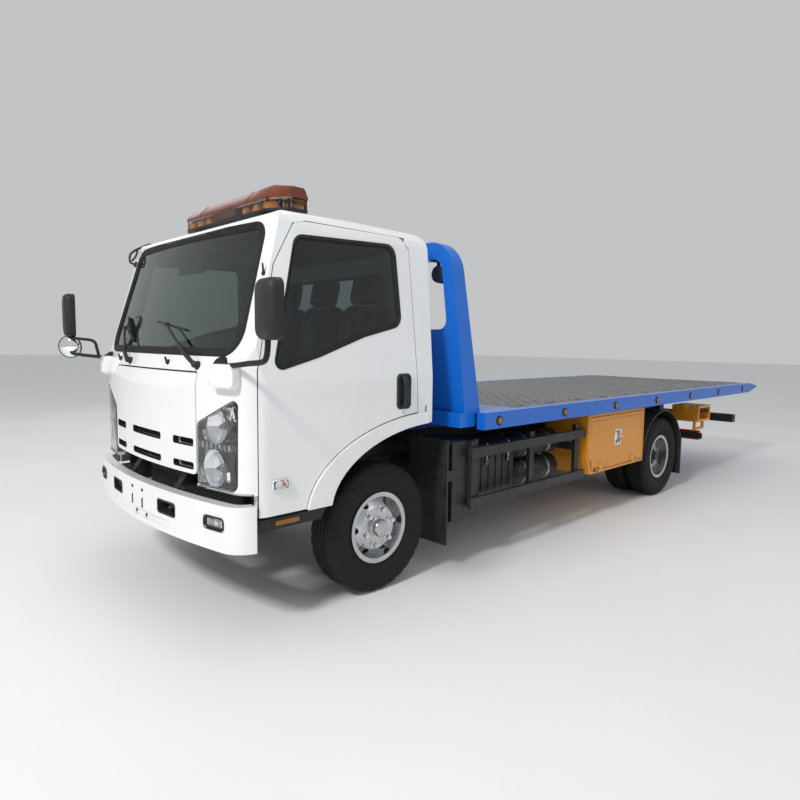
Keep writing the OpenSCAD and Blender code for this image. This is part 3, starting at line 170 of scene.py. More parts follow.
def galvanised():
    """Zinc-coated chequer plate: spangle cells, scuffs along the loading lanes."""
    k = Look("galvanised_plate", (0.17, 0.175, 0.18), 0.30, 0.9)
    spangle = k.ramp(k.cells(55), (0.05, (0.11, 0.115, 0.12)), (0.6, (0.21, 0.215, 0.22)))
    scuff = k.spread(k.noise(5, 9, 0.7, (0.25, 1.6, 1)), 0.0, 0.75, 0.5, 0.72)
    k.set("Base Color", k.mix(scuff, spangle, (0.07, 0.07, 0.073)))
    k.set("Roughness", k.spread(k.noise(22, 6), 0.26, 0.5))
    k.bump(k.noise(240, 4), 0.15, 0.0005)
    return k.mat


def seat_cloth():
    """Woven black seat cloth with a wrinkled glossy coat."""
    k = Look("seat_cloth", (0.030, 0.031, 0.034), 0.85, Sheen_Weight=0.3, Coat_Weight=0.85, Coat_Roughness=0.10)
    weave = k.noise(900, 2, 0.5, (1, 3.2, 1))
    k.set("Base Color", k.ramp(weave, (0.3, (0.016, 0.017, 0.018)), (0.7, (0.028, 0.029, 0.031))))
    k.bump(weave, 0.08, 0.0004)
    k.bump(k.noise(11, 3, 0.6, (1, 1, 0.35)), 0.35, 0.010, "Coat Normal")
    return k.mat


def floor_paint():
    k = Look("studio_floor", (0.80, 0.80, 0.80), 0.75)
    k.set("Base Color", k.ramp(k.noise(0.6, 3), (0.3, (0.78, 0.78, 0.785)), (0.7, (0.82, 0.82, 0.82))))
    return k.mat


M = {
    "white": paint("cab_white", (0.83, 0.845, 0.86), 0.2, 0.8, 0.07),
    "blue": paint("bed_blue", (0.0015, 0.135, 0.60), 0.34, 0.30, 0.015),
    "yellow": paint("box_yellow", (0.72, 0.285, 0.012), 0.36, 0.30, 0.05),
    "black": paint("chassis_black", (0.010, 0.0105, 0.0115), 0.48, 0.05, 0.05, (0.035, 0.035, 0.035)),
    "gloss_black": paint("gloss_black", (0.012, 0.012, 0.014), 0.18, 0.5, 0.03),
    "plastic": plastic("black_plastic", (0.018, 0.019, 0.021)),
    "trim": plastic("grey_trim", (0.055, 0.057, 0.062), 0.58, 700),
    "headliner": plastic("headliner", (0.30, 0.30, 0.29), 0.8, 420, 0.5),
    "green": plastic("green_button", (0.010, 0.22, 0.035), 0.35),
    "red_button": plastic("red_button", (0.42, 0.012, 0.010), 0.35),
    "rubber": rubber("tyre_rubber", (0.012, 0.0125, 0.013)),
    "seal": rubber("seal_rubber", (0.010, 0.010, 0.011), 0.6, (0.02, 0.02, 0.02)),
    "polished": metal("polished_rim", (0.56, 0.57, 0.58), 0.24, 0.08),
    "lamp": metal("lamp_tray", (0.46, 0.47, 0.48), 0.30, 0.05),
    "chrome": metal("chrome", (0.86, 0.87, 0.89), 0.07, 0.02),
    "steel": metal("bare_steel", (0.46, 0.47, 0.48), 0.34, 0.2),
    "rod": metal("ground_rod", (0.72, 0.73, 0.75), 0.14, 0.05, (6, 1, 6)),
    "iron": metal("cast_iron", (0.050, 0.052, 0.055), 0.55, 0.4, None, 0.6),
    "alloy": metal("cast_alloy", (0.30, 0.31, 0.32), 0.5, 0.5),
    "mirror": metal("mirror_glass", (0.90, 0.92, 0.93), 0.02, 0.0),
    "screen": glass("screen_glass", (0.30, 0.35, 0.34)),
    "window": glass("window_glass", (0.36, 0.41, 0.41)),
    "clear": glass("clear_lens", (0.96, 0.97, 0.98), 0.01),
    "amber": glass("amber_lens", (1.0, 0.36, 0.02), 0.06, 0.75, 0.25, 60, 0.4),
    "red": glass("red_lens", (0.75, 0.012, 0.012), 0.06, 0.55, 0.25, 90, 0.4),
    "bar": glass("bar_lens", (0.27, 0.048, 0.008), 0.20, 0.50, 0.30, 26, 0.05),
    "beacon": glass("beacon_lens", (1.0, 0.36, 0.03), 0.12, 0.20, 0.25, 60, 0.3),
    "deck": galvanised(),
    "seat": seat_cloth(),
}

# Each node's finish
FINISH = {
    "white": "cab_back cab_roof cab_sides cab_front front_lid door_left door_right front_bumper",
    "blue": "bed_rails bed_sills bed_frame headboard",
    "yellow": "tool_boxes control_boxes tool_door_left tool_door_right",
    "deck": "bed_deck",
    "black": "chassis_frame side_guards tilt_frame lift_boom lift_bar front_axle rear_axle rear_fenders"
             " knuckle_left knuckle_right tie_rod winch tilt_barrels",
    "alloy": "engine fuel_tank",
    "rod": "tilt_rods",
    "plastic": "mirrors wipers steering_wheel cab_floor",
    "trim": "dashboard",
    "seat": "seats",
    "polished": "rim_front_left rim_front_right rims_rear_left rims_rear_right",
    "rubber": "tyre_front_left tyre_front_right tyres_rear_left tyres_rear_right",
    "screen": "windscreen",
    "window": "door_glass_left door_glass_right rear_glass",
    "clear": "headlamps fog_lamps",
    "amber": "light_bar bed_lamps",
    "red": "tail_lamps",
}
for key, names in FINISH.items():
    for n in names.split():
        NODES[n].data.materials.clear()
        NODES[n].data.materials.append(M[key])


# Mesh helpers: each adds faces to BM, which finish_piece makes into an object and empties

BM = bmesh.new()


def mm(*v):
    """Pairs in metres from numbers in millimetres."""
    return [(a / 1000, b / 1000) for a, b in zip(v[::2], v[1::2])]


def turns(n):
    return [2 * math.pi * k / n for k in range(n)]


def place(c, axis=(0, 0, 1)):
    """Frame at c whose local z lies along the axis."""
    turn = Vector((0, 0, 1)).rotation_difference(Vector(axis).normalized())
    return Matrix.Translation(Vector(c)) @ turn.to_matrix().to_4x4()


def bolt_circle(fm, r, h, n, start=0.0):
    """Frames round the axis of fm, at radius r and height h."""
    return [fm @ Matrix.Translation((r * math.cos(a + start), r * math.sin(a + start), h)) for a in turns(n)]


def tag(faces, mat):
    for f in faces:
        if f.is_valid:
            f.material_index = mat
            f.smooth = True


def quads(a, b):
    """Ring of quads between two loops of vertices."""
    return [BM.faces.new(q) for q in zip(a, a[1:] + a[:1], b[1:] + b[:1], b)]


def strip(rings, mat=0, closed=False, caps=False):
    """Skin over rings of points; closed joins the last ring to the first, caps fills both ends."""
    loops = [[BM.verts.new(p) for p in ring] for ring in rings]
    faces = [f for a, b in zip(loops, loops[1:] + loops[:closed]) for f in quads(a, b)]
    if caps:
        faces += [BM.faces.new(loops[0][::-1]), BM.faces.new(loops[-1])]
    tag(faces, mat)
    return loops


def fan(loop, mat):
    """Triangles from a loop of vertices to its middle."""
    c = BM.verts.new(sum((v.co for v in loop), Vector()) / len(loop))
    tag([BM.faces.new((a, b, c)) for a, b in zip(loop, loop[1:] + loop[:1])], mat)


def bevel(faces, edged, r, seg):
    """Rounds the edges of some faces; returns all faces."""
    edges = list({e for f in edged for e in f.edges})
    out = bmesh.ops.bevel(BM, geom=edges, offset=r, segments=seg, profile=0.5, affect="EDGES")
    return list(set(faces + out["faces"]))


def block(c, size, r=0.0, mat=0, turn=Matrix.Identity(4), seg=2):
    """Box with rounded edges."""
    vs = bmesh.ops.create_cube(BM, size=1.0)["verts"]
    bmesh.ops.transform(BM, matrix=Matrix.Translation(Vector(c)) @ turn @ Matrix.Diagonal((*size, 1)), verts=vs)
    faces = list({f for v in vs for f in v.link_faces})
    tag(bevel(faces, faces, r, seg) if r else faces, mat)


def lathe(profile, fm, seg=32, mat=0, closed=False):
    """Profile of (radius, height) spun about the frame's z; radius 0 makes a pole."""
    rings = [[BM.verts.new(fm @ Vector((r * math.cos(a), r * math.sin(a), h))) for a in (turns(seg) if r else [0])]
             for r, h in profile]
    for a, b in zip(rings, rings[1:] + rings[:closed]):
        if len(a) == 1:
            faces = [BM.faces.new((a[0], q, p)) for p, q in zip(b, b[1:] + b[:1])]
        elif len(b) == 1:
            faces = [BM.faces.new((p, q, b[0])) for p, q in zip(a, a[1:] + a[:1])]
        else:
            faces = quads(a, b)
        tag(faces, mat)


def rod(a, b, r, seg=16, mat=0, ease=0.12):
    """Round bar from a to b with eased ends."""
    a, b = Vector(a), Vector(b)
    l = (b - a).length
    e = min(r * ease, l * 0.2)
    lathe([(0, 0), (r - e, 0), (r, e), (r, l - e), (r - e, l), (0, l)], place(a, b - a), seg, mat)


def curve_points(pts, n=8):
    """Catmull-Rom points through pts."""
    p = [Vector(q) for q in pts]
    p = [2 * p[0] - p[1]] + p + [2 * p[-1] - p[-2]]
    out = []
    for a, b, c, d in zip(p, p[1:], p[2:], p[3:]):
        for t in (k / n for k in range(n)):
            out.append(0.5 * (2 * b + (c - a) * t + (2 * a - 5 * b + 4 * c - d) * t * t
                              + (3 * b - a - 3 * c + d) * t ** 3))
    return out + [p[-2]]


def tube(pts, r, seg=10, mat=0, smooth=0, closed=False, flat=None):
    """Tube along points; flat=(w, h) gives an oval or strap section."""
    pts = curve_points(pts, smooth) if smooth else [Vector(q) for q in pts]
    n = len(pts)
    w, h = flat or (r, r)
    rings, side = [], None
    for i, p in enumerate(pts):
        a = pts[(i - 1) % n] if closed or i else p
        b = pts[(i + 1) % n] if closed or i < n - 1 else p
        d = (b - a).normalized()
        if side is None:
            side = d.orthogonal().normalized() if abs(d.z) > 0.9 else d.cross(Vector((0, 0, 1))).normalized()
        side = (side - d * side.dot(d)).normalized()
        up = side.cross(d)
        rings.append([p + side * w * math.cos(t) + up * h * math.sin(t) for t in turns(seg)])
    strip(rings, mat, closed, not closed)


def prism(outline, to3, d0, d1, r):
    """Outline of (u, v) points carried by to3(u, v, d) from depth d0 to d1, its ends' edges rounded."""
    a, b = ([BM.verts.new(to3(u, v, d)) for u, v in outline] for d in (d0, d1))
    ends = [BM.faces.new(a[::-1]), BM.faces.new(b)]
    tag(bevel(ends + quads(a, b), ends, r, 2), 0)


def rounded(w, h, r, cx=0.0, cy=0.0, n=6):
    """Points of a rounded rectangle."""
    out = []
    for sx, sy, a0 in ((1, 1, 0), (-1, 1, 90), (-1, -1, 180), (1, -1, 270)):
        for a in (math.radians(a0 + 90 * k / n) for k in range(n + 1)):
            out.append((cx + sx * (w / 2 - r) + r * math.cos(a), cy + sy * (h / 2 - r) + r * math.sin(a)))
    return out


def finish_piece(name, body, mats, angle=40, hides=()):
    """Makes BM into an object, shades it and sets it riding on its body."""
    bmesh.ops.recalc_face_normals(BM, faces=BM.faces)
    me = bpy.data.meshes.new(name)
    BM.to_mesh(me)
    BM.clear()
    for key in mats:
        me.materials.append(M[key])
    me.set_sharp_from_angle(angle=math.radians(angle))
    ob = bpy.data.objects.new(name, me)
    SCENE.collection.objects.link(ob)
    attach(ob, body)
    if hides:
        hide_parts(*hides)
    return ob


# Wheels: tyres with a ribbed road tread, studs, hub caps, valves

# Half of the tyre's section from bead to tread: radius, distance from its middle
TYRE_HALF = mm(208, 74, 226, 79.5, 236, 85, 246, 83.5, 256, 90, 284, 101, 312.5, 104.3, 330, 104, 334, 105, 350, 104,
               354, 101.8, 372, 98.5, 385, 94, 394, 85, 400.5, 76.5, 402.5, 70)
GROOVE = mm(4.2, 0, 2.6, 10, -2.6, 10, -4.2, 0)
GROOVE_AT = (0.050, 0.017)
STUD_R, FRONT_FACE, REAR_FACE = 0.112, 0.070, -0.035


def wheel_frame(x, y, side):
    """Local z points outwards along the axle."""
    return place((x, y, TYRE_R), (0, side, 0))


def tyre(fm, seg=128):
    """Closed section spun in steps; the ribs' edges zigzag and the shoulders are notched."""
    rings = []
    for k, a in enumerate(turns(seg)):
        zig = 0.0022 if (k // 2) % 2 else -0.0022
        notch = 0.0055 if k % 4 == 0 else 0.0
        up = [(r - notch if r > 0.38 else r, h) for r, h in TYRE_HALF]
        tread = [(TYRE_R - 0.0004 - dr, g + dh + zig) for g in GROOVE_AT for dh, dr in GROOVE]
        loop = up + tread + [(r, -h + 2 * zig) for r, h in reversed(tread)] + [(r, -h) for r, h in reversed(up)]
        rings.append([fm @ Vector((r * math.cos(a), r * math.sin(a), h)) for r, h in loop])
    strip(rings, 0, True)
    # raised blocks round the sidewall, every sixth one longer
    for k, a in enumerate(turns(24)):
        for s in (1, -1):
            m = fm @ Matrix.Rotation(a, 4, "Z")
            c = m @ Vector((0.362, 0, s * 0.1000))
            block((0, 0, 0), (0.012, 0.026 if k % 6 else 0.06, 0.004), 0.001, 0,
                  Matrix.Translation(c) @ m.to_3x3().to_4x4(), 1)


def studs(fm, face, top, start):
    for m in bolt_circle(fm, STUD_R, face, 6, start):
        lathe(mm(23, 0, 23, 4, 19, 6, 17.2, 6), m, 20)
        lathe(mm(17.2, 5, 17.2, 24, 15, 27.5, 8.5, 27.5, 8.5, top, 6.5, top + 2, 0, top + 2), m, 6)


def wheels():
    for name, s in SIDES:
        body = f"wheel_front_{name}"
        fm = wheel_frame(FRONT_X, s * FRONT_TYRE_Y, s)
        tyre(fm)
        finish_piece(f"tread_front_{name}", body, ["rubber"], 32, [f"tyre_front_{name}"])
        studs(fm, FRONT_FACE, 36, 0.26)
        face = fm @ Matrix.Translation((0, 0, FRONT_FACE))
        lathe(mm(64, -1, 64, 6, 56, 10, 54.5, 34, 48, 44, 30, 49, 12, 50, 10, 47, 0, 47), face, 40, 1)
        for m in bolt_circle(face, 0.060, 0.006, 6):
            lathe(mm(4.5, 0, 4.5, 5, 0, 5), m, 6)
        valve = Vector((0.182 * math.cos(0.78), 0.182 * math.sin(0.78), 0.036))
        tube([fm @ (valve + Vector((-d, -d, h))) for d, h in mm(0, 0, 12, 20, 22, 46)], 0.0045, 8, 2, 4)
        finish_piece(f"hub_front_{name}", body, ["chrome", "polished", "steel"])

        body = f"wheels_rear_{name}"
        fm = wheel_frame(REAR_X, s * REAR_TYRE_Y, s)
        tyre(fm)
        tyre(wheel_frame(REAR_X, s * TWIN_Y, s))
        finish_piece(f"tread_rear_{name}", body, ["rubber"], 32, [f"tyres_rear_{name}"])
        studs(fm, REAR_FACE, 44, 0.1)
        face = fm @ Matrix.Translation((0, 0, REAR_FACE))
        lathe(mm(78, -1, 78, 12, 70, 20, 66, 58, 56, 66, 26, 70, 0, 70), face, 40, 1)
        for m in bolt_circle(face, 0.046, 0.066, 8):
            lathe(mm(7.5, 0, 7.5, 6, 6, 8, 0, 8), m, 6)
        finish_piece(f"hub_rear_{name}", body, ["steel", "iron"])


wheels()


# Laying pieces on the CAD surfaces: rays find the skin, so trim sits on what carries it

TREES = {}


def skin(names, start, way):
    """Nearest hit of a ray on the named nodes: point and normal turned against the ray."""
    best = None
    way = Vector(way).normalized()
    for n in names:
        if n not in TREES:
            me = NODES[n].data
            points, faces = [v.co.copy() for v in me.vertices], [tuple(p.vertices) for p in me.polygons]
            TREES[n] = BVHTree.FromPolygons(points, faces)
        p, normal, _, dist = TREES[n].ray_cast(Vector(start), way)
        if p is not None and (best is None or dist < best[2]):
            best = (p, normal if normal.dot(way) < 0 else -normal, dist)
    return best[:2] if best else None


def from_side(names, s):
    """Cast for outlines in (x, z): looks in from the left (s = 1) or right side."""
    return lambda u, v: skin(names, (u, s * 2.5, v), (0, -s, 0))


def from_front(*names):
    return lambda u, v: skin(names, (5.0, u, v), (-1, 0, 0))


def from_back(name, x=1.0):
    return lambda u, v: skin([name], (x, u, v), (1, 0, 0))


def corner_outline(pts, n=6):
    """Closed outline from corner points (u, v, radius)."""
    out = []
    c = len(pts)
    for i in range(c):
        a, p, b = (Vector(pts[(i + k) % c][:2]) for k in (-1, 0, 1))
        u, v = (a - p).normalized(), (b - p).normalized()
        half = u.angle(v) / 2
        cut = min(pts[i][2] / math.tan(half), 0.49 * (a - p).length, 0.49 * (b - p).length)
        mid = p + (u + v).normalized() * (cut * math.tan(half) / math.sin(half))
        s, e = p + u * cut - mid, p + v * cut - mid
        for t in (-s.angle_signed(e) * k / n for k in range(n + 1)):
            out.append((mid.x + s.x * math.cos(t) - s.y * math.sin(t), mid.y + s.x * math.sin(t) + s.y * math.cos(t)))
    return out


def inset(outline, d):
    """Outline moved inwards by d (outwards if negative), along each point's mean normal."""
    n = len(outline)
    area = sum(a[0] * b[1] - b[0] * a[1] for a, b in zip(outline, outline[1:] + outline[:1]))
    sign = 1 if area > 0 else -1
    out = []
    for i in range(n):
        a, p, b = (Vector(outline[(i + k) % n]) for k in (-1, 0, 1))
        e1, e2 = (p - a), (b - p)
        e1 = e1.normalized() if e1.length > 1e-9 else e2.normalized()
        e2 = e2.normalized() if e2.length > 1e-9 else e1
        t = (e1 + e2).normalized()
        k = d / max(0.35, t.dot(e1))
        out.append((p.x - sign * t.y * k, p.y + sign * t.x * k))
    return out


def densify(outline, step):
    out = []
    for a, b in zip(outline, outline[1:] + outline[:1]):
        a, b = Vector(a), Vector(b)
        k = max(1, int((b - a).length / step))
        out += [tuple(a.lerp(b, j / k)) for j in range(k)]
    return out


def plate(w, h, r, cx, cy, n=5, step=0.02):
    """Rounded rectangle with points close enough to follow a curved skin."""
    return densify(rounded(w, h, r, cx, cy, n), step)


def lifted(cast, outline, h):
    """Outline's points on the skin, raised by h along its normal; a miss takes its neighbour's depth."""
    hits = [cast(u, v) for u, v in outline]
    n = len(hits)
    out = []
    for i in range(n):
        k = next(k for k in sorted(range(-n + 1, n), key=abs) if hits[(i + k) % n])
        p, normal = hits[(i + k) % n]
        out.append(p + normal * h)
    return out


def lifted_rings(cast, outline, steps):
    """Rings of (inset, height) on the skin."""
    return [lifted(cast, inset(outline, i), h) for i, h in steps]


def moved(ring, dx, outline=None):
    """Ring moved along x, and to an outline in (y, z) if one is given."""
    if outline:
        return [Vector((p.x + dx, *q)) for p, q in zip(ring, outline)]
    return [p + Vector((dx, 0, 0)) for p in ring]


def pad(outline, cast, steps, mat=0, sunk=0.003):
    """Closed slab on the skin. steps: (inset, height) rings from the edge to the middle."""
    loops = strip([lifted(cast, outline, -sunk)] + lifted_rings(cast, outline, steps), mat)
    fan(loops[-1], mat)
    fan(loops[0], mat)


def seal(outline, outer, inner, out_w, in_w, rise):
    """Rubber channel from the panel's edge over to the pane."""
    o = densify(outline, 0.05)
    strip(lifted_rings(outer, o, ((-out_w, -0.004), (-out_w, rise * 0.5), (-out_w * 0.6, rise), (-0.003, rise)))
          + lifted_rings(inner, o, ((in_w * 0.7, 0.006), (in_w, 0.003), (in_w, -0.002), (0.004, -0.002))), 0, True)


SCREEN = [(0.895, 1.478, 0.120), (0.835, 2.160, 0.090), (-0.835, 2.160, 0.090), (-0.895, 1.478, 0.120)]
DOOR_WINDOW = [(3.515, 1.395, 0.035), (3.347, 2.098, 0.060), (2.640, 2.125, 0.060), (2.612, 1.655, 0.070),
               (2.907, 1.585, 0.300), (3.236, 1.470, 0.300)]
REAR_WINDOW = rounded(1.040, 0.390, 0.060, 0.0, 1.815)


def glazing():
    seal(corner_outline(SCREEN, 8), from_front("cab_front", "cab_roof"), from_front("windscreen"), 0.016, 0.028, 0.004)
    finish_piece("screen_seal", "cab", ["seal"])
    for name, s in SIDES:
        seal(corner_outline(DOOR_WINDOW, 8), from_side([f"door_{name}"], s), from_side([f"door_glass_{name}"], s),
             0.010, 0.016, 0.003)
        finish_piece(f"window_seal_{name}", f"door_{name}", ["seal"])
    seal(REAR_WINDOW, from_back("cab_back"), from_back("rear_glass"), 0.014, 0.018, 0.004)
    finish_piece("rear_seal", "cab", ["seal"])


def door_fittings():
    grip_x, lamp_x, lamp_z = 2.602, FRONT_X + 0.762, 0.806
    for name, s in SIDES:
        cast = from_side([f"door_{name}"], s)
        pad(plate(0.118, 0.218, 0.030, grip_x, 1.250, 6, 0.03), cast, mm(0, 4, 4, 9, 14, 9, 20, 2, 30, 0.8))
        # pull: a bowed grip over the dished plate
        grip = []
        for z, h in mm(1155, 6, 1185, 20, 1250, 30, 1315, 20, 1345, 6):
            p, n = cast(grip_x, z)
            grip.append(p + n * h)
        tube(grip, 0.012, 12, 0, 6, flat=(0.019, 0.009))
        lock, n = cast(grip_x, 1.118)
        lathe(mm(14, -3, 14, 3, 11, 5, 10.5, 3.5, 0, 3.5), place(lock, n), 24, 1)
        block(lock + n * 0.0036, (0.002, 0.001, 0.010), 0, 2)
        finish_piece(f"handle_{name}", f"door_{name}", ["plastic", "chrome", "gloss_black"])
        # side indicator in a bright bezel
        pad(plate(0.105, 0.062, 0.018, lamp_x, lamp_z), cast, mm(0, 6, 3, 10, 8, 10, 10, 6, 15, 5))
        pad(plate(0.088, 0.044, 0.012, lamp_x, lamp_z), cast, mm(0, 10, 4, 17, 12, 19), 1, -0.006)
        c, n = cast(FRONT_X + 0.745, lamp_z)
        lathe(mm(11, 7, 10, 13, 5, 15.5, 0, 16), place(c, n), 20, 2)
        finish_piece(f"side_lamp_{name}", f"door_{name}", ["chrome", "clear", "amber"])


def seals_and_gap_shade():
    """Dark strip in the gap round each door, partly the rubber seal and partly painted shade for the gap, found by
    searching outwards for the door's edge.
    """
    for name, s in SIDES:
        door = from_side([f"door_{name}", f"door_glass_{name}"], s)
        loop = []
        for a in turns(160):
            out = lambda d: (2.95 + math.cos(a) * d, 1.36 + math.sin(a) * d)
            near, far = 0.15, 1.6
            for _ in range(16):
                mid = (near + far) / 2
                hit = door(*out(mid))
                near, far = (mid, far) if hit and abs(hit[0].y) > 0.75 else (near, mid)
            x, z = out(near + 0.003)
            loop.append(Vector((x, door(*out(near - 0.004))[0].y - s * 0.007, z)))
        # the dark rubber strip is a seal and also stands in as painted shade inside the door gap
        tube(loop, 0.0026, 6, 0, 0, True, (0.0022, 0.0045))
        finish_piece(f"door_seal_and_gap_shade_{name}", "cab", ["seal"])


glazing()
door_fittings()
seals_and_gap_shade()


# Nose of the cab: lamps, slots, washer jets, mirror feet and bumper fittings

# Headlamp's corners (y, z, radius), and its bowls: y, z, radius, the bulb's material
LAMP_CORNERS = [(0.592, 0.772, 0.020), (0.915, 0.772, 0.045), (0.922, 1.262, 0.030), (0.592, 1.108, 0.045)]
LAMP_BOWLS = ((0.735, 0.876, 0.098, 2), (0.757, 1.098, 0.088, 3))
BOWL = ((0.16, 0.0), (0.50, 0.010), (0.80, 0.025), (0.98, 0.040), (1.05, 0.0405), (1.05, 0.036), (0.84, 0.020),
        (0.50, 0.004), (0.16, -0.004))


def headlamps():
    cast = from_front("headlamps")
    for name, s in SIDES:
        o = inset(densify(corner_outline([(s * y, z, r) for y, z, r in LAMP_CORNERS]), 0.03), 0.004)
        pad(o, cast, mm(0, -3, 4, 0, 20, 0.5, 45, 0.5, 75, 0.5, 100, 0.5), 0, 0.005)
        lens = finish_piece(f"lamp_lens_{name}", "cab", ["clear"])
        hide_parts("headlamps")
        pad(o, cast, mm(0, -6, 6, -6, 12, -46, 30, -50, 60, -52, 90, -52), 0, 0.064)
        for y, z, r, bulb in LAMP_BOWLS:
            m = place((cast(s * y, z)[0].x - 0.050, s * y, z), (1, 0.12 * s, 0.02))
            lathe([(r * k, h) for k, h in BOWL], m, 40, 1, True)
            lathe(mm(11.5, -4, 11.5, 16, 8.5, 28, 4, 32, 0, 33), m, 16, bulb)
            lathe([(r * 0.20, -0.003), (r * 0.20, 0.006), (r * 0.16, 0.008), (0, 0.008)], m, 20, 4)
        # ribbed divider with four small pegs, and fluted outer edge
        for k in range(7):
            c, n = cast(s * (0.622 + 0.036 * k), 0.992)
            block(c - n * 0.034, (0.026, 0.030, 0.040), 0.004, 4)
            if k % 2 == 0:
                peg = c - n * 0.022
                rod(peg + Vector((0, 0, -0.006)), peg + Vector((0, 0, 0.016)), 0.003, 8, 1)
        for k in range(9):
            c, n = cast(s * 0.882, 0.815 + 0.036 * k)
            block(c - n * 0.034, (0.020, 0.022, 0.024), 0.004, 1)
        finish_piece(f"lamp_tray_{name}", "cab", ["lamp", "chrome", "clear", "amber", "alloy"])
        # black strip below the lamp
        strip_at = [(s * y, z) for y, z in mm(600, 763, 975, 763, 975, 770.5, 600, 770.5)]
        pad(densify(strip_at, 0.02), from_front("cab_front"), mm(0, 2, 1, 3))
        finish_piece(f"lamp_strip_{name}", "cab", ["plastic"])


# Slots in the lid: height and depth of each row, place and width in it
SLOT_ROWS = ((0.996, 0.044), (0.867, 0.040))
SLOTS = ((0, 0.420), (0.458, 0.208), (-0.458, 0.208))


def lid_fittings():
    cast = from_front("front_lid")
    for z, h in SLOT_ROWS:
        for y, w in SLOTS:
            # liner round the slot, the dark panel closing it and the vanes before that
            o = plate(w + 0.010, h + 0.010, 0.020, y, z, 4, 0.03)
            inner = inset(o, 0.0062)
            low, edge = lifted(cast, o, -0.003), lifted(cast, o, -0.002)
            strip([low, moved(low, 0.0028), moved(edge, 0.001, inner), moved(edge, -0.030, inner),
                   moved(low, -0.030)], 0, True)
            xs = [p.x for p in lifted(cast, o, 0.0)]
            x = sum(xs) / len(xs) - (max(xs) - min(xs)) / 2
            block((x - 0.036, y, z), (0.006, w, h), 0.002, 1)
            count = int(w / 0.035)
            for i in range(1, count):
                block((x - 0.028, y - w / 2 + w * i / count, z), (0.012, 0.004, h - 0.006), 0.001, 1)
    finish_piece("lid_slots", "front_lid", ["plastic", "gloss_black"])
    cowl = from_front("cab_front")
    for y in (-0.55, 0.24):
        c, n = cowl(y, 1.420)
        lathe(mm(16, -4, 16, 4, 12, 12, 6, 16, 0, 16), place(c, n), 20)
        rod(c + n * 0.010, c + n * 0.014 + Vector((0.006, 0, 0.026)), 0.006, 12)
    finish_piece("washer_jets", "cab", ["plastic"])


def mirror_feet():
    """White pods on the cowl corners that carry the mirror arms."""
    steps = mm(-4, 10, 0, 30, 8, 50, 20, 56)
    for name, s in SIDES:
        pad(plate(0.170, 0.118, 0.030, s * 0.845, 1.362), from_front("cab_front"), steps, 0, 0.004)
        finish_piece(f"mirror_foot_{name}", "cab", ["white"])


def bumper_fittings():
    cast = from_front("front_bumper")
    lamp_z = 0.612
    for s in (1, -1):
        # dark liner and hook in each opening
        o = plate(0.200, 0.084, 0.020, s * 0.370, lamp_z)
        ring = lifted(cast, o, 0.0)
        inner = inset(o, 0.0105)
        mouth = [moved(ring, 0.0012), moved(ring, 0.0012, inner), moved(ring, -0.095, inner), moved(ring, -0.095)]
        strip(mouth, 0, True)
        x = min(p.x for p in ring)
        block((x - 0.105, s * 0.370, lamp_z), (0.008, 0.220, 0.110), 0.003)
        rod((x - 0.100, s * 0.33, 0.600), (x - 0.030, s * 0.33, 0.600), 0.014, 16, 3)
        hook = ((0.070, 0.33, 0.600), (0.030, 0.345, 0.604), (0.014, 0.372, 0.612), (0.024, 0.402, 0.622),
                (0.070, 0.410, 0.622))
        tube([(x - d, s * y, z) for d, y, z in hook], 0.011, 12, 1, 6)
        # number plate brackets: slotted strips with a screw above and below
        y = s * 0.075
        pad(plate(0.034, 0.105, 0.006, y, 0.585, 3), cast, mm(0, 3, 2, 4.5), 2)
        pad(plate(0.012, 0.060, 0.005, y, 0.585, 3), cast, mm(0, 4.8, 1, 5.2))
        for z in (0.508, 0.662):
            lathe(mm(10, -2, 10, 3, 6, 5, 0, 5), place(*cast(y, z)), 16)
    finish_piece("bumper_fittings", "chassis", ["plastic", "iron", "white", "yellow"])
    fog = from_front("fog_lamps", "front_bumper")
    for name, s in SIDES:
        o = plate(0.158, 0.074, 0.022, s * 0.810, lamp_z)
        strip(lifted_rings(fog, o, mm(0, -2, 0, 5, 4, 8, 11, 7, 13, 0)), 0, True)
        pad(inset(o, 0.013), fog, mm(0, 1.5, 10, 0.5, 20, 1), 2)
        pad(inset(o, 0.0125), fog, mm(0, 5, 4, 8.5, 18, 9.5), 3, -0.0045)
        lathe(mm(16, 0.5, 13, 3, 0, 3.4), place(*fog(s * 0.810, lamp_z)), 24, 1)
        finish_piece(f"fog_bezel_{name}", "chassis", ["plastic", "chrome", "lamp", "clear"])
    # condenser core seen over the bumper
    block((3.632, 0, 0.700), (0.036, 0.540, 0.150), 0.004)
    for k in range(27):
        block((3.652, -0.26 + 0.02 * k, 0.700), (0.006, 0.006, 0.140), 0.001, 1)
    for z in (0.632, 0.768):
        rod((3.640, -0.275, z), (3.640, 0.275, z), 0.014, 14)
    finish_piece("condenser", "chassis", ["black", "alloy"])


headlamps()
lid_fittings()
mirror_feet()
bumper_fittings()


# Cab: padded seats, light bar, mirrors, wipers, trim

CURL, SQUARE = 0.42, 0.34


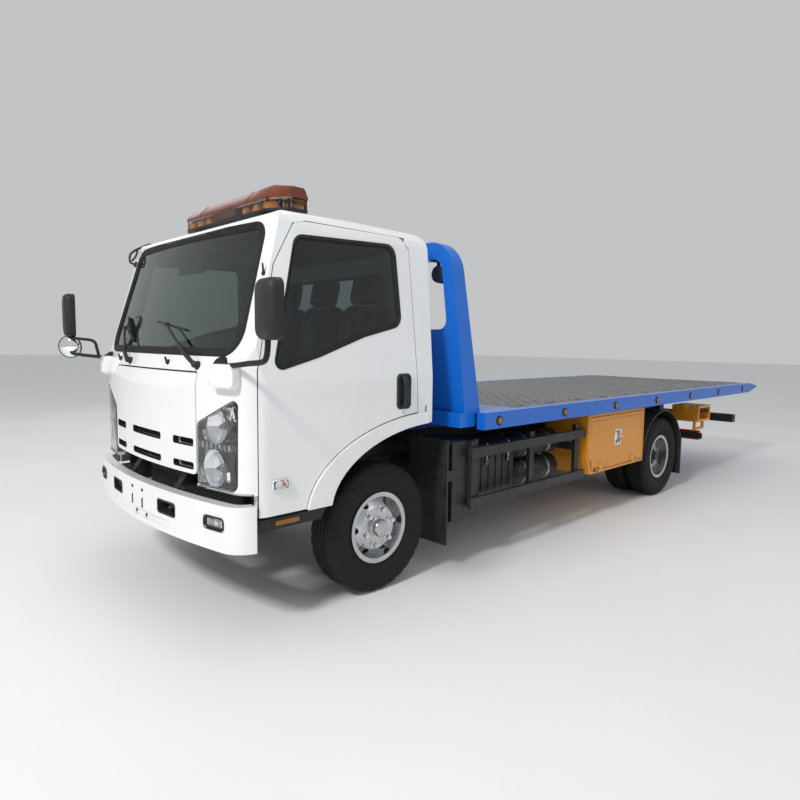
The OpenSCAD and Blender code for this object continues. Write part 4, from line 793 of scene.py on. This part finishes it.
def cushion(c, size, turn, channels, nu=44, nv=26):
    """Stuffed form: crowned faces, sides pulled in between the corners, sewn channels along its length, piping."""
    a, b, h = (v / 2 for v in size)
    m = Matrix.Translation(Vector(c)) @ turn
    curl = lambda v, e: math.copysign(abs(v) ** e, v)
    rings = []
    for t in (-math.pi / 2 + math.pi * i / nv for i in range(1, nv)):
        ring = []
        for w in turns(nu):
            p = Vector((a * curl(math.cos(t), CURL) * curl(math.cos(w), SQUARE),
                        b * curl(math.cos(t), CURL) * curl(math.sin(w), SQUARE), h * curl(math.sin(t), 0.75)))
            u, v = p.x / a, p.y / b
            p.x *= 1 - 0.035 * (1 - v * v)
            p.y *= 1 - 0.035 * (1 - u * u)
            if p.z > 0:
                for q in channels:
                    p.z -= 0.012 * math.exp(-((p.y - q) / 0.013) ** 2)
                p.z += 0.0035 * mnoise.noise(Vector((p.x * 9, p.y * 5, c[1] * 7)))
            ring.append(m @ p)
        rings.append(ring)
    loops = strip(rings)
    fan(loops[0], 0)
    fan(loops[-1], 0)
    piping = [m @ Vector((a * 0.972 * curl(math.cos(w), SQUARE), b * 0.972 * curl(math.sin(w), SQUARE), 0.30 * h))
              for w in turns(nu)]
    tube(piping, 0.0045, 6, 1, 0, True)


SEATS = (("left", 0.47), ("middle", 0.0), ("right", -0.47))
# Each seat's parts: name, x, z, size, lean in degrees, sewn channels
SEAT_PARTS = (("base", 2.765, 1.245, (0.520, 0.440, 0.185), -4, (-0.10, 0.10)),
              ("back", 2.500, 1.545, (0.530, 0.430, 0.165), 78, (-0.105, 0.0, 0.105)),
              ("rest", 2.455, 1.900, (0.200, 0.270, 0.110), 78, ()))


def seats():
    for name, y in SEATS:
        for part, x, z, size, lean, channels in SEAT_PARTS:
            cushion((x, y, z), size, Matrix.Rotation(math.radians(lean), 4, "Y"), channels)
            if part == "rest":
                for k in (-0.055, 0.055):
                    rod((2.462, y + k, 1.845), (2.486, y + k, 1.760), 0.006, 10, 2)
            hides = ["seats"] if (part, name) == ("base", "left") else ()
            ob = finish_piece(f"seat_{part}_{name}", "cab", ["seat", "plastic", "chrome"], 60, hides)
    for _, y in SEATS:
        block((2.760, y, 1.160), (0.420, 0.360, 0.030), 0.008)
    finish_piece("seat_pans", "cab", ["plastic"])


BAR_X = 3.127


def dome(half, crown, top):
    """Loop of (x, z) for one station of the light bar's dome."""
    right = [(half, 2.372), (half, 2.384), (half - 0.012, 2.404), (crown, top - 0.016), (crown - 0.018, top)]
    return [(-half, 2.372)] + right + [(-x, z) for x, z in right[:0:-1]]


def loft(stations, mat):
    strip([[(BAR_X + x, y, z) for x, z in pts] for y, pts in stations], mat, False, True)


def light_bar():
    half, end, l, taper = 0.140, 0.070, 0.640, 0.130
    ys = (-l, -l + 0.015, taper - l, -0.31, -0.30, -0.29, 0.29, 0.30, 0.31, l - taper, l - 0.015, l)
    stations = []
    for y in ys:
        e = max(0.0, (abs(y) - l + taper) / taper)
        dip = 0.006 if abs(abs(y) - 0.30) < 0.001 else 0.0
        stations.append((y, dome(half - (half - end) * e - dip, 0.095 - 0.040 * e - dip, 2.455 - 0.020 * e - dip)))
    loft(stations, 0)
    # lower lens, base and the plate over the lamps: material, and how far each corner is off the lens's edge
    wide = ((-l + 0.004, end - 0.004), (taper - l, half - 0.005), (l - taper, half - 0.005), (l - 0.004, end - 0.004))
    sections = ((1, mm(0, 2312, 0, 2372.5)), (2, mm(-20, 2292, 4, 2302, 4, 2313)), (3, mm(-30, 2366, -30, 2371.5)))
    for mat, right in sections:
        loft([(y, [(-w - right[0][0], right[0][1])] + [(w + d, z) for d, z in right]
               + [(-w - d, z) for d, z in right[:0:-1]]) for y, w in wide], mat)
    for y in (-0.43, 0.43):
        block((BAR_X, y, 2.270), (0.140, 0.118, 0.052), 0.010, 2)
        for x in (BAR_X - 0.105, BAR_X + 0.105):
            block((x, y, 2.258), (0.070, 0.060, 0.030), 0.006, 2)
            lathe(mm(12, 0, 12, 7, 0, 8), place((x, y, 2.272)), 6, 3)
    # closed middle of the lower lens, amber beacons at its ends, reflectors under the dome
    block((BAR_X, 0, 2.342), (0.262, 0.300, 0.050), 0.006, 2)
    for y in (0.24, 0.36, 0.48, -0.24, -0.36, -0.48):
        for x in (BAR_X + 0.058, BAR_X - 0.058):
            lathe(mm(0, 2314, 46, 2314, 48, 2330, 46, 2352, 30, 2364, 0, 2365), place((x, y, 0)), 24, 4)
        block((BAR_X, y, 2.340), (0.006, 0.090, 0.044), 0.002, 3)
    for y in (-0.45, -0.15, 0.15, 0.45):
        lathe(mm(0, 2373, 50, 2373, 46, 2395, 24, 2415, 12, 2434, 0, 2435), place((BAR_X, y, 0)), 20, 3)
    finish_piece("beacon_bar", "cab", ["bar", "clear", "plastic", "chrome", "beacon"], 25, ["light_bar"])


def shell(c, w, h, d=0.070, r=0.045):
    """Mirror housing: rounded frame at the back, drawn in to a crowned front, and its glass."""
    m = Matrix.Translation(Vector(c)) @ Matrix.Rotation(math.radians(-8), 4, "Z")
    oval = lambda k, corner, x: [m @ Vector((x, u, v))
                                 for u, v in rounded(w * k, h * (1 - (1 - k) * w / h), corner, 0, 0, 5)]
    back = -d / 2
    steps = ((0.90, back + 0.004), (1.0, back), (1.0, -d * 0.10), (0.97, d * 0.20), (0.86, d * 0.40), (0.60, d * 0.49),
             (0.25, d * 0.52))
    loops = strip([oval(k, min(r, w * k * 0.45), x) for k, x in steps])
    tag([BM.faces.new(loops[-1])], 0)
    tag([BM.faces.new([BM.verts.new(p) for p in oval(0.91, r * 0.9, back + 0.003)])], 1)


def mirrors():
    left, right = (3.787, 1.375, 1.683), (3.797, -1.415, 1.720)
    left_foot, right_foot = (3.697, 0.800, 1.415), (3.689, -0.870, 1.410)
    shell(left, 0.180, 0.266)
    shell(right, 0.190, 0.320)
    tube([left_foot, (3.712, 0.95, 1.425), (3.735, 1.12, 1.440), (3.757, 1.275, 1.452), (3.775, 1.340, 1.476),
          (3.783, 1.366, 1.530), (3.787, 1.372, 1.600), (3.787, 1.373, 1.700)], 0.0135, 12, 2, 5)
    tube([right_foot, (3.715, -1.05, 1.418), (3.765, -1.30, 1.428), (3.790, -1.392, 1.442), (3.797, -1.412, 1.500),
          (3.797, -1.415, 1.620), (3.797, -1.415, 1.800)], 0.0125, 12, 2, 5)
    tube([(3.712, -1.03, 1.416), (3.716, -1.05, 1.470), (3.725, -1.10, 1.530), (3.765, -1.28, 1.545),
          (3.790, -1.38, 1.550), (3.797, -1.412, 1.560)], 0.0105, 10, 2, 5)
    for c, s in ((left_foot, 1), (right_foot, -1)):
        lathe(mm(52, -30, 52, 2, 46, 10, 26, 18, 22, 34, 0, 36), place(c, (0.5, 0.6 * s, 0.25)), 28, 2)
    for c in ((3.787, 1.373, 1.575), (3.797, -1.415, 1.585), (3.797, -1.415, 1.840)):
        block(c, (0.046, 0.050, 0.040), 0.010, 2)
    # round wide-angle glass under the right head
    m = place((3.787, -1.425, 1.485), (0.62, 0.77, -0.10))
    lathe(mm(0, -22, 55, -20, 78, -10, 85, 4, 85, 14, 80, 16), m, 40)
    lathe(mm(80, 14, 68, 24, 50, 34, 26, 41, 0, 43), m, 40, 1)
    finish_piece("mirror_set", "cab", ["plastic", "mirror", "seal"], 40, ["mirrors"])


# Wipers: pivot, arm's end and the blade's two ends, as (y, z) on the cab's front
WIPERS = (((0.57, 1.412), (0.150, 1.625), (-0.050, 1.652), (0.345, 1.600)),
          ((-0.33, 1.412), (-0.560, 1.612), (-0.660, 1.690), (-0.390, 1.530)))


def wipers():
    cast = from_front("cab_front", "windscreen")

    def run(a, b, lifts, r, mat, n):
        """Tube over the skin from a to b, raised by lifts at its start, middle and end."""
        pts = []
        for t in (k / n for k in range(n + 1)):
            p, normal = cast(*Vector(a).lerp(Vector(b), t))
            sag = lifts[1] - (lifts[0] + lifts[2]) / 2
            pts.append(p + normal * (lifts[0] * (1 - t) + lifts[2] * t + sag * 4 * t * (1 - t)))
        tube(pts, r, 10, mat)
        return pts

    for pivot, tip, a, b in WIPERS:
        lathe(mm(24, -12, 24, 6, 19, 12, 18, 30, 10, 36, 0, 37), place(*cast(*pivot)), 24)
        arm = run(pivot, tip, (0.026, 0.046, 0.040), 0.0075, 0, 10)
        tube(arm[:5], 0.0125, 12)
        run(a, b, (0.005, 0.005, 0.005), 0.0050, 1, 16)
        run(a, b, (0.013, 0.017, 0.013), 0.0065, 0, 16)
        bridge = [Vector(a).lerp(Vector(b), t) for t in (0.22, 0.78)]
        run(*bridge, (0.016, 0.034, 0.016), 0.0055, 0, 12)
        block(arm[-1], (0.022, 0.040, 0.020), 0.005)
    finish_piece("wiper_set", "cab", ["plastic", "rubber"], 40, ["wipers"])


# Section of the arch liner and its lip: distance beyond the arch, y
ARCH = mm(8, 560, 0, 560, 0, 985, 0, 1006, 16, 1012, 32, 1006, 32, 995, 8, 995)


def cab_trim():
    # inner arch liner with a black lip, from the step round to the rear foot of the cab
    for s in (1, -1):
        rings = []
        for t in (math.radians(5 + 80.5 * k / 24) for k in range(25)):
            c, h = math.cos(t), math.sin(t)
            rings.append([(2.327 + (0.834 + d) * c, s * y, 0.60 + (0.434 + d) * h) for d, y in ARCH])
        strip(rings, 0, False, True)
    finish_piece("arch_lips", "cab", ["plastic"])
    for s in (1, -1):
        pad(plate(0.150, 0.030, 0.010, 3.435, 0.598, 4), from_side(["cab_floor", "cab_sides"], s), mm(0, 4, 3, 8, 9, 9))
    finish_piece("step_reflectors", "cab", ["amber"])
    # ceiling lining with clips, lamp and sun visors
    prism(rounded(0.86, 1.70, 0.05, 2.865, 0, 5), lambda u, v, d: (u, v, d), 2.122, 2.136, 0.004)
    for x in (2.55, 2.90, 3.20):
        for y in (-0.62, 0.0, 0.62):
            lathe(mm(12, 0, 11, -4, 0, -5), place((x, y, 2.1225)), 16, 1)
    block((3.02, 0, 2.116), (0.16, 0.09, 0.020), 0.008, 2)
    for s in (1, -1):
        block((3.235, s * 0.44, 2.100), (0.030, 0.40, 0.020), 0.008, 1, Matrix.Rotation(math.radians(62), 4, "Y"))
        block((3.262, s * 0.44, 2.052), (0.012, 0.42, 0.115), 0.005, 0, Matrix.Rotation(math.radians(-17), 4, "Y"))
    finish_piece("ceiling", "cab", ["headliner", "plastic", "clear"])
    # dash: vents, radio slot with two knobs, binnacle with two dials
    cast = from_back("dashboard", 2.6)
    for y in (0.86, 0.18, -0.18, -0.86):
        hit = cast(y, 1.33)
        if hit:
            block(hit[0], (0.016, 0.130, 0.075), 0.006)
            for k in range(5):
                block(hit[0] + Vector((-0.009, 0, -0.026 + 0.013 * k)), (0.006, 0.112, 0.0045), 0.001, 1)
    radio = cast(0.0, 1.25)
    if radio:
        block(radio[0], (0.014, 0.200, 0.052), 0.005)
        block(radio[0] + Vector((-0.008, 0, 0)), (0.003, 0.130, 0.026), 0.001, 2)
        for k in (-0.083, 0.083):
            lathe(mm(14, 0, 12, 14, 0, 15), place(radio[0] + Vector((-0.006, k, 0)), (-1, 0, 0)), 20, 3)
    prism(rounded(0.40, 0.13, 0.05, 0.46, 1.425, 6), lambda u, v, d: (d, u, v), 3.345, 3.475, 0.012)
    for y in (0.38, 0.54):
        dial = place((3.346, y, 1.432), (-1, 0, 0))
        lathe(mm(50, 0, 50, 7, 45, 9, 44, 3, 0, 3), dial, 32, 3)
        lathe(mm(43, 3.5, 0, 4), dial, 32, 2)
    finish_piece("dash_fittings", "cab", ["plastic", "trim", "gloss_black", "chrome"])
    boss = place((3.227, 0.46, 1.5), (-0.6428, 0, 0.766))
    lathe(mm(76, -12, 78, 10, 66, 24, 34, 30, 0, 31), boss, 36)
    lathe(mm(30, 29.6, 30, 32, 24, 33, 0, 33), boss, 28, 1)
    finish_piece("wheel_boss", "steering_wheel", ["plastic", "trim"])
    # aerial stub on the left pillar and a mirror bracket on the right one
    cast = from_front("cab_front", "cab_roof", "windscreen")
    p, n = cast(0.925, 1.885) or cast(0.895, 1.885)
    lathe(mm(12, -4, 11, 10, 6, 14, 4.5, 55, 0, 57), place(p, (0.25, 0.2, 1)), 14)
    p, n = cast(-0.905, 2.085) or cast(-0.875, 2.085)
    lathe(mm(22, -6, 21, 10, 12, 16, 0, 18), place(p, n), 18)
    bow = ((0, 0, 0), (0.030, -0.035, 0.020), (0.010, -0.075, 0.085), (-0.06, -0.080, 0.135), (-0.125, -0.055, 0.165),
           (-0.150, -0.010, 0.150))
    stay = ((0.018, -0.030, 0.030), (-0.02, -0.060, 0.070), (-0.04, -0.078, 0.115))
    tube([p + Vector(q) for q in bow], 0.008, 10, 0, 5)
    tube([p + Vector(q) for q in stay], 0.007, 8, 0, 4)
    finish_piece("pillar_fittings", "cab", ["plastic"])


seats()
light_bar()
mirrors()
wipers()
cab_trim()


# Bed: chequer pattern, slot rims, lamps, winch

SLOT_X = [1.377 - 0.434 * i for i in range(12)]
LAMP_X = [1.807 - 0.851 * i for i in range(7)]
SLOT_Y = 0.995


def chequer():
    """Raised lozenges of the tread plate, alternately crossed, left out round the slots."""
    pitch, l, w, h = 0.062, 0.021, 0.0052, 0.0024
    nx, ny = int(5.04 / pitch), int(2.08 / pitch)
    foot = [(-l, 0, -0.0004), (0, -w, -0.0004), (l, 0, -0.0004), (0, w, -0.0004)]
    corners = foot + [(-l * 0.55, 0, h), (0, -w * 0.5, h), (l * 0.55, 0, h), (0, w * 0.5, h)]
    sides = ((0, 1, 5, 4), (1, 2, 6, 5), (2, 3, 7, 6), (3, 0, 4, 7), (4, 5, 6, 7), (3, 2, 1, 0))
    verts, faces = [], []
    for i in range(nx):
        for j in range(ny):
            x = 1.500 - pitch * (i + 0.5)
            y = (j - (ny - 1) / 2) * pitch
            if any(abs(x - sx) < 0.105 and abs(abs(y) - SLOT_Y) < 0.045 for sx in SLOT_X):
                continue
            a = math.radians(45 if (i + j) % 2 else -45)
            c, s = math.cos(a), math.sin(a)
            faces += [tuple(len(verts) + k for k in side) for side in sides]
            verts += [(x + u * c - v * s, y + u * s + v * c, DECK_Z + z) for u, v, z in corners]
    me = bpy.data.meshes.new("chequer")
    me.from_pydata(verts, [], faces)
    me.materials.append(M["deck"])
    ob = bpy.data.objects.new("chequer", me)
    SCENE.collection.objects.link(ob)
    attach(ob, "bed")


def bed_fittings():
    # rolled rims of the lashing slots
    rim = mm(0, -4, 0, 3, -4, 4.2, -9, 3, -9, -4)
    for x in SLOT_X:
        for s in (1, -1):
            o = rounded(0.156, 0.040, 0.019, x, s * SLOT_Y, 5)
            strip([[(u, v, DECK_Z + h) for u, v in inset(o, d)] for d, h in rim], 0, True)
    finish_piece("slot_rims", "bed", ["steel"])
    # rubber grommets and lens detail of the side markers
    for x in LAMP_X:
        for s in (1, -1):
            m = place((x, s * BED_HALF, 1.020), (0, s, 0))
            lathe(mm(22.5, -3, 22.5, 5, 26, 8, 32, 6, 34, -2), m, 28, 0, True)
            lathe(mm(21.5, 0, 20.5, 7, 14, 10.5, 0, 11.5), m, 28, 1)
    finish_piece("marker_rims", "bed", ["seal", "amber"])
    # weld beads where the headboard meets the deck, treads on the rear ramp
    aft = from_back("headboard", -2.0)
    bead = mm(0, -6, 12, -3, 14, 2, 8, 8, 0, 10)
    for y in (-0.96 + 1.92 * k / 33 for k in range(34)):
        hit = aft(y, DECK_Z + 0.02)
        if hit:
            lathe(bead, place((hit[0].x - 0.003, y, DECK_Z + 0.001), (-0.7, 0, 0.7)), 10)
    for s in (1, -1):
        for k in range(9):
            hit = skin(["bed_frame", "bed_deck", "bed_rails"], (-3.60 - 0.028 * k, s * 0.86, 2.0), (0, 0, -1))
            if hit:
                block(hit[0] + hit[1] * 0.002, (0.008, 0.300, 0.008), 0.002)
    finish_piece("bed_welds", "bed", ["blue"])


def head_fittings():
    # work lamps facing aft on brackets
    for y in (0.870, -0.870):
        m = place((2.132, y, 2.005), (-1, 0, 0))
        lathe(mm(0, -54, 34, -53, 52, -48, 58, -34, 60, 30, 61, 46, 55, 48, 52, 42), m)
        rod((2.167, y, 2.030), (2.167, y, 2.103), 0.0125, 14)
        block((2.160, y, 2.094), (0.075, 0.110, 0.014), 0.004)
        lathe(mm(52, 42, 34, 47, 0, 49), m, 32, 1)
        lathe(mm(50, 36, 30, 4, 12, -6, 0, -6), m, 28, 2)
        for screw in bolt_circle(m, 0.055, 0.044, 6):
            rod(screw.translation, screw @ Vector((0, 0, 0.008)), 0.004, 8, 2)
    finish_piece("work_lamp_lenses", "bed", ["plastic", "clear", "chrome"])
    # folded seams on the panel's aft face
    aft = from_back("headboard", -2.0)
    for y in (-0.62, -0.31, 0.0, 0.31, 0.62):
        hits = [aft(y, z) for z in (1.12, 1.25, 1.38, 1.50, 1.60)]
        pts = [hit[0] + hit[1] * 0.001 for hit in hits if hit]
        if len(pts) > 2:
            tube(pts, 0.008, 8, flat=(0.016, 0.006))
    finish_piece("panel_seams", "bed", ["blue"])


def winch_fittings():
    lo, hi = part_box("winch")
    mid = (Vector(lo) + Vector(hi)) / 2
    # wound wire: closed turns on the drum only, which is the lowest part seen from above
    ys = [mid.y + k * 0.0095 for k in range(-24, 25)]
    tops = [(y, skin(["winch"], (mid.x, y, hi[2] + 0.3), (0, 0, -1))) for y in ys]
    tops = [(y, hit[0].z) for y, hit in tops if hit]
    core = min(z for _, z in tops)
    r = core - mid.z
    for y, z in tops:
        if abs(z - core) < 0.012:
            tube([(mid.x + r * math.cos(t), y, mid.z + r * math.sin(t)) for t in turns(36)], 0.0046, 6, 0, 0, True)
    for s in (1, -1):
        for t in turns(6):
            hit = skin(["winch"], (mid.x + 0.055 * math.cos(t), s * 1.5, mid.z + 0.055 * math.sin(t)), (0, -s, 0))
            if hit:
                lathe(mm(8, -2, 8, 7, 6, 9, 0, 9), place(hit[0], (0, s, 0)), 6, 1)
    finish_piece("winch_turns", "bed", ["steel", "chrome"])


chequer()
bed_fittings()
head_fittings()
winch_fittings()


# Chassis and tail: box latches, control buttons, lamps, straps

def box_fittings():
    latch_x = -0.070
    for name, s in SIDES:
        cast = from_side([f"tool_door_{name}"], s)
        # folding T-handle in a dished plate
        pad(plate(0.120, 0.150, 0.020, latch_x, 0.715), cast, mm(0, 3, 3, 6, 10, 6, 14, 2.5, 30, 2.5), 1)
        pad(plate(0.086, 0.112, 0.012, latch_x, 0.715), cast, mm(0, 3.5, 10, 3.5))
        p, n = cast(latch_x, 0.725)
        rod(p - n * 0.002, p + n * 0.022, 0.010, 16, 1)
        tube([p + n * h + Vector((x, 0, 0)) for x, h in mm(-46, 20, -20, 24, 20, 24, 46, 20)], 0.009, 12, 1, 4)
        lathe(mm(12, -2, 12, 4, 9, 6, 0, 6), place(cast(latch_x, 0.668)[0], n), 20, 1)
        # folded edge round the door's face, hinges at its foot
        lo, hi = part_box(f"tool_door_{name}")
        w, h = hi[0] - lo[0], hi[2] - lo[2]
        o = plate(w - 0.060, h - 0.060, 0.020, (lo[0] + hi[0]) / 2, (lo[2] + hi[2]) / 2, 4, 0.06)
        strip(lifted_rings(cast, o, mm(0, -1, 4, 4.5, 12, 4.5, 16, -1)), 2, True)
        for x in (lo[0] + 0.16, hi[0] - 0.16):
            p, n = cast(x, lo[2] + 0.026)
            block(p + n * 0.002, (0.110, 0.008, 0.034), 0.003, 3)
            for k in (-0.035, 0.0, 0.035):
                lathe(mm(7, 0, 7, 4, 4, 6, 0, 6), place(p + n * 0.005 + Vector((k, 0, 0)), n), 14, 1)
        finish_piece(f"box_latch_{name}", f"box_door_{name}", ["gloss_black", "chrome", "yellow", "plastic"])


def control_fittings():
    for s in (1, -1):
        cast = from_side(["control_boxes"], s)
        for k, mat in enumerate((1, 0, 2)):
            hit = cast(-2.060 - 0.05 * k, 0.735)
            if hit:
                lathe(mm(14, -2, 14, 4, 10, 5, 10, 12, 6, 14, 0, 14), place(hit[0], (0, s, 0)), 20, mat)
        for k in range(5):
            hit = cast(-2.080 - 0.058 * k, 0.800)
            if hit:
                lathe(mm(19, -3, 18, 6, 10, 12, 6, 16, 0, 16), place(hit[0], (0, s, 0)), 18, 3)
    finish_piece("control_buttons", "chassis", ["chrome", "green", "red_button", "plastic"])


def tail_fittings():
    lo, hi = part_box("tail_lamps")
    cast = from_back("tail_lamps", -6.0)
    z, h = (lo[2] + hi[2]) / 2, hi[2] - lo[2]
    for s in (1, -1):
        ys = [y for y in (hi[1] * k / 60 for k in range(61)) if cast(s * y, z)]
        y0, w = min(ys), max(ys) - min(ys)
        for mat in range(3):
            y = s * (max(ys) - w * (mat + 0.5) / 3)
            pad(plate(w / 3 - 0.006, h * 0.86, min(0.012, h * 0.2), y, z, 4), cast, mm(0, 3, 3, 8, 10, 10), mat)
        for k in (0.06, 0.94):
            hit = cast(s * (y0 + w * k), z)
            if hit:
                lathe(mm(5, 0, 5, 4, 0, 5), place(hit[0], (-1, 0, 0)), 10, 3)
    finish_piece("tail_lenses", "chassis", ["amber", "red", "clear", "steel"])


def under_fittings():
    # spring U-bolts over the axles
    for x, y, top in ((FRONT_X, 0.46, 0.585), (FRONT_X, -0.46, 0.585), (REAR_X, 0.50, 0.560), (REAR_X, -0.50, 0.560)):
        bend = top + 0.022
        bolt = ((-0.042, 0.345), (-0.042, top), (-0.030, bend), (0.030, bend), (0.042, top), (0.042, 0.345))
        for dx in (-0.055, 0.055):
            tube([(x + dx, y + d, z) for d, z in bolt], 0.008, 8, 1)
    finish_piece("axle_straps", "chassis", ["black", "steel"])
    # battery case and twin air tanks behind the left guard, on brackets from the rail
    block((1.570, 0.770, 0.615), (0.460, 0.340, 0.330), 0.018, seg=3)
    block((1.570, 0.770, 0.795), (0.480, 0.360, 0.050), 0.014, seg=3)
    for k in range(5):
        block((1.400 + 0.085 * k, 0.943, 0.610), (0.022, 0.010, 0.270), 0.004)
    for x in (1.44, 1.70):
        tube([(x, y, z) for y, z in mm(952, 700, 958, 780, 950, 826, 900, 832)], 0.006, 8, 1, 4)
        block((x, 0.955, 0.690), (0.034, 0.014, 0.040), 0.004, 1)
    strap_x = (0.780, 1.100)
    for z in (0.515, 0.730):
        m = place((0.640, 0.800, z), (1, 0, 0))
        lathe(mm(0, -30, 50, -26, 85, -10, 100, 18, 100, 572, 85, 600, 50, 616, 0, 620), m, 36)
        for h in (20, 570):
            lathe(mm(99, h - 6, 103, h - 3, 103, h + 3, 99, h + 6), m, 36, 0, True)
        for x in strap_x:
            lathe(mm(100.5, -16, 103.5, -14, 103.5, 14, 100.5, 16), place((x, 0.800, z), (1, 0, 0)), 36, 1, True)
    for x in strap_x:
        block((x, 0.565, 0.640), (0.040, 0.290, 0.060), 0.006)
        block((x, 0.700, 0.622), (0.036, 0.014, 0.300), 0.004)
    for x in (1.430, 1.710):
        block((x, 0.515, 0.640), (0.040, 0.190, 0.060), 0.006)
    finish_piece("air_and_battery", "chassis", ["black", "steel"])
    lo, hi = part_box("fuel_tank")
    for k in (0.25, 0.75):
        x = lo[0] + (hi[0] - lo[0]) * k
        y0, y1, z0, z1 = lo[1] - 0.003, hi[1] + 0.003, lo[2] - 0.003, hi[2] + 0.003
        o = densify(corner_outline([(y, z, 0.045) for y, z in ((y0, z0), (y1, z0), (y1, z1), (y0, z1))]), 0.05)
        strip([[(x + d, u, v) for u, v in inset(o, i)] for i, d in mm(0, -18, 0, 18, 6, 18, 6, -18)], 0, True)
    finish_piece("tank_straps", "chassis", ["steel"])


box_fittings()
control_fittings()
tail_fittings()
under_fittings()


# Studio: pale floor, soft light from the front left and above, camera at the photograph's angle

# Lights: name, place, aim, size, power, tint
LIGHTS = (("key", (11.5, 3.0, 8.5), (2.0, 0, 1.0), 1.6, 900, (1.0, 0.98, 0.95)),
          ("side", (-1.0, 10.0, 6.0), (0.5, 0, 1.0), 4.0, 60, (0.97, 0.98, 1.0)),
          ("top", (1.0, 0.0, 9.0), (0, 0, 1.0), 5.0, 90, (1, 1, 1)),
          ("far", (0.0, -9.0, 6.0), (0, 0, 1.0), 5.0, 60, (0.95, 0.98, 1.0)))


def studio():
    bmesh.ops.create_grid(BM, x_segments=8, y_segments=8, size=60)
    me = bpy.data.meshes.new("floor")
    BM.to_mesh(me)
    me.materials.append(floor_paint())
    floor = bpy.data.objects.new("floor", me)
    floor.location = (0, 0, -0.002)
    SCENE.collection.objects.link(floor)
    world = bpy.data.worlds.new("studio")
    world.use_nodes = True
    back = world.node_tree.nodes["Background"]
    back.inputs["Color"].default_value = (0.96, 0.98, 1.0, 1)
    back.inputs["Strength"].default_value = 0.56
    SCENE.world = world
    for name, at, aim, size, power, tint in LIGHTS:
        light = bpy.data.lights.new(name, "AREA")
        light.size = size
        light.energy = power
        light.color = tint
        ob = bpy.data.objects.new(name, light)
        ob.location = at
        ob.rotation_euler = (Vector(aim) - Vector(at)).to_track_quat("-Z", "Y").to_euler()
        SCENE.collection.objects.link(ob)


def camera():
    cam = bpy.data.cameras.new("camera")
    cam.lens = 27.27
    cam.sensor_width = 36
    cam.clip_end = 200
    ob = bpy.data.objects.new("camera", cam)
    yaw, pitch, roll = (math.radians(a) for a in (46.04, 5.39, 0.75))
    look = Vector((-math.cos(yaw) * math.cos(pitch), -math.sin(yaw) * math.cos(pitch), -math.sin(pitch)))
    turn = look.to_track_quat("-Z", "Y").to_matrix().to_4x4() @ Matrix.Rotation(roll, 4, "Z")
    ob.matrix_world = Matrix.Translation((5.192, 3.653, 1.546)) @ turn
    SCENE.collection.objects.link(ob)
    SCENE.camera = ob


studio()
camera()
SCENE.view_settings.view_transform = "Standard"
SCENE.view_settings.look = "None"
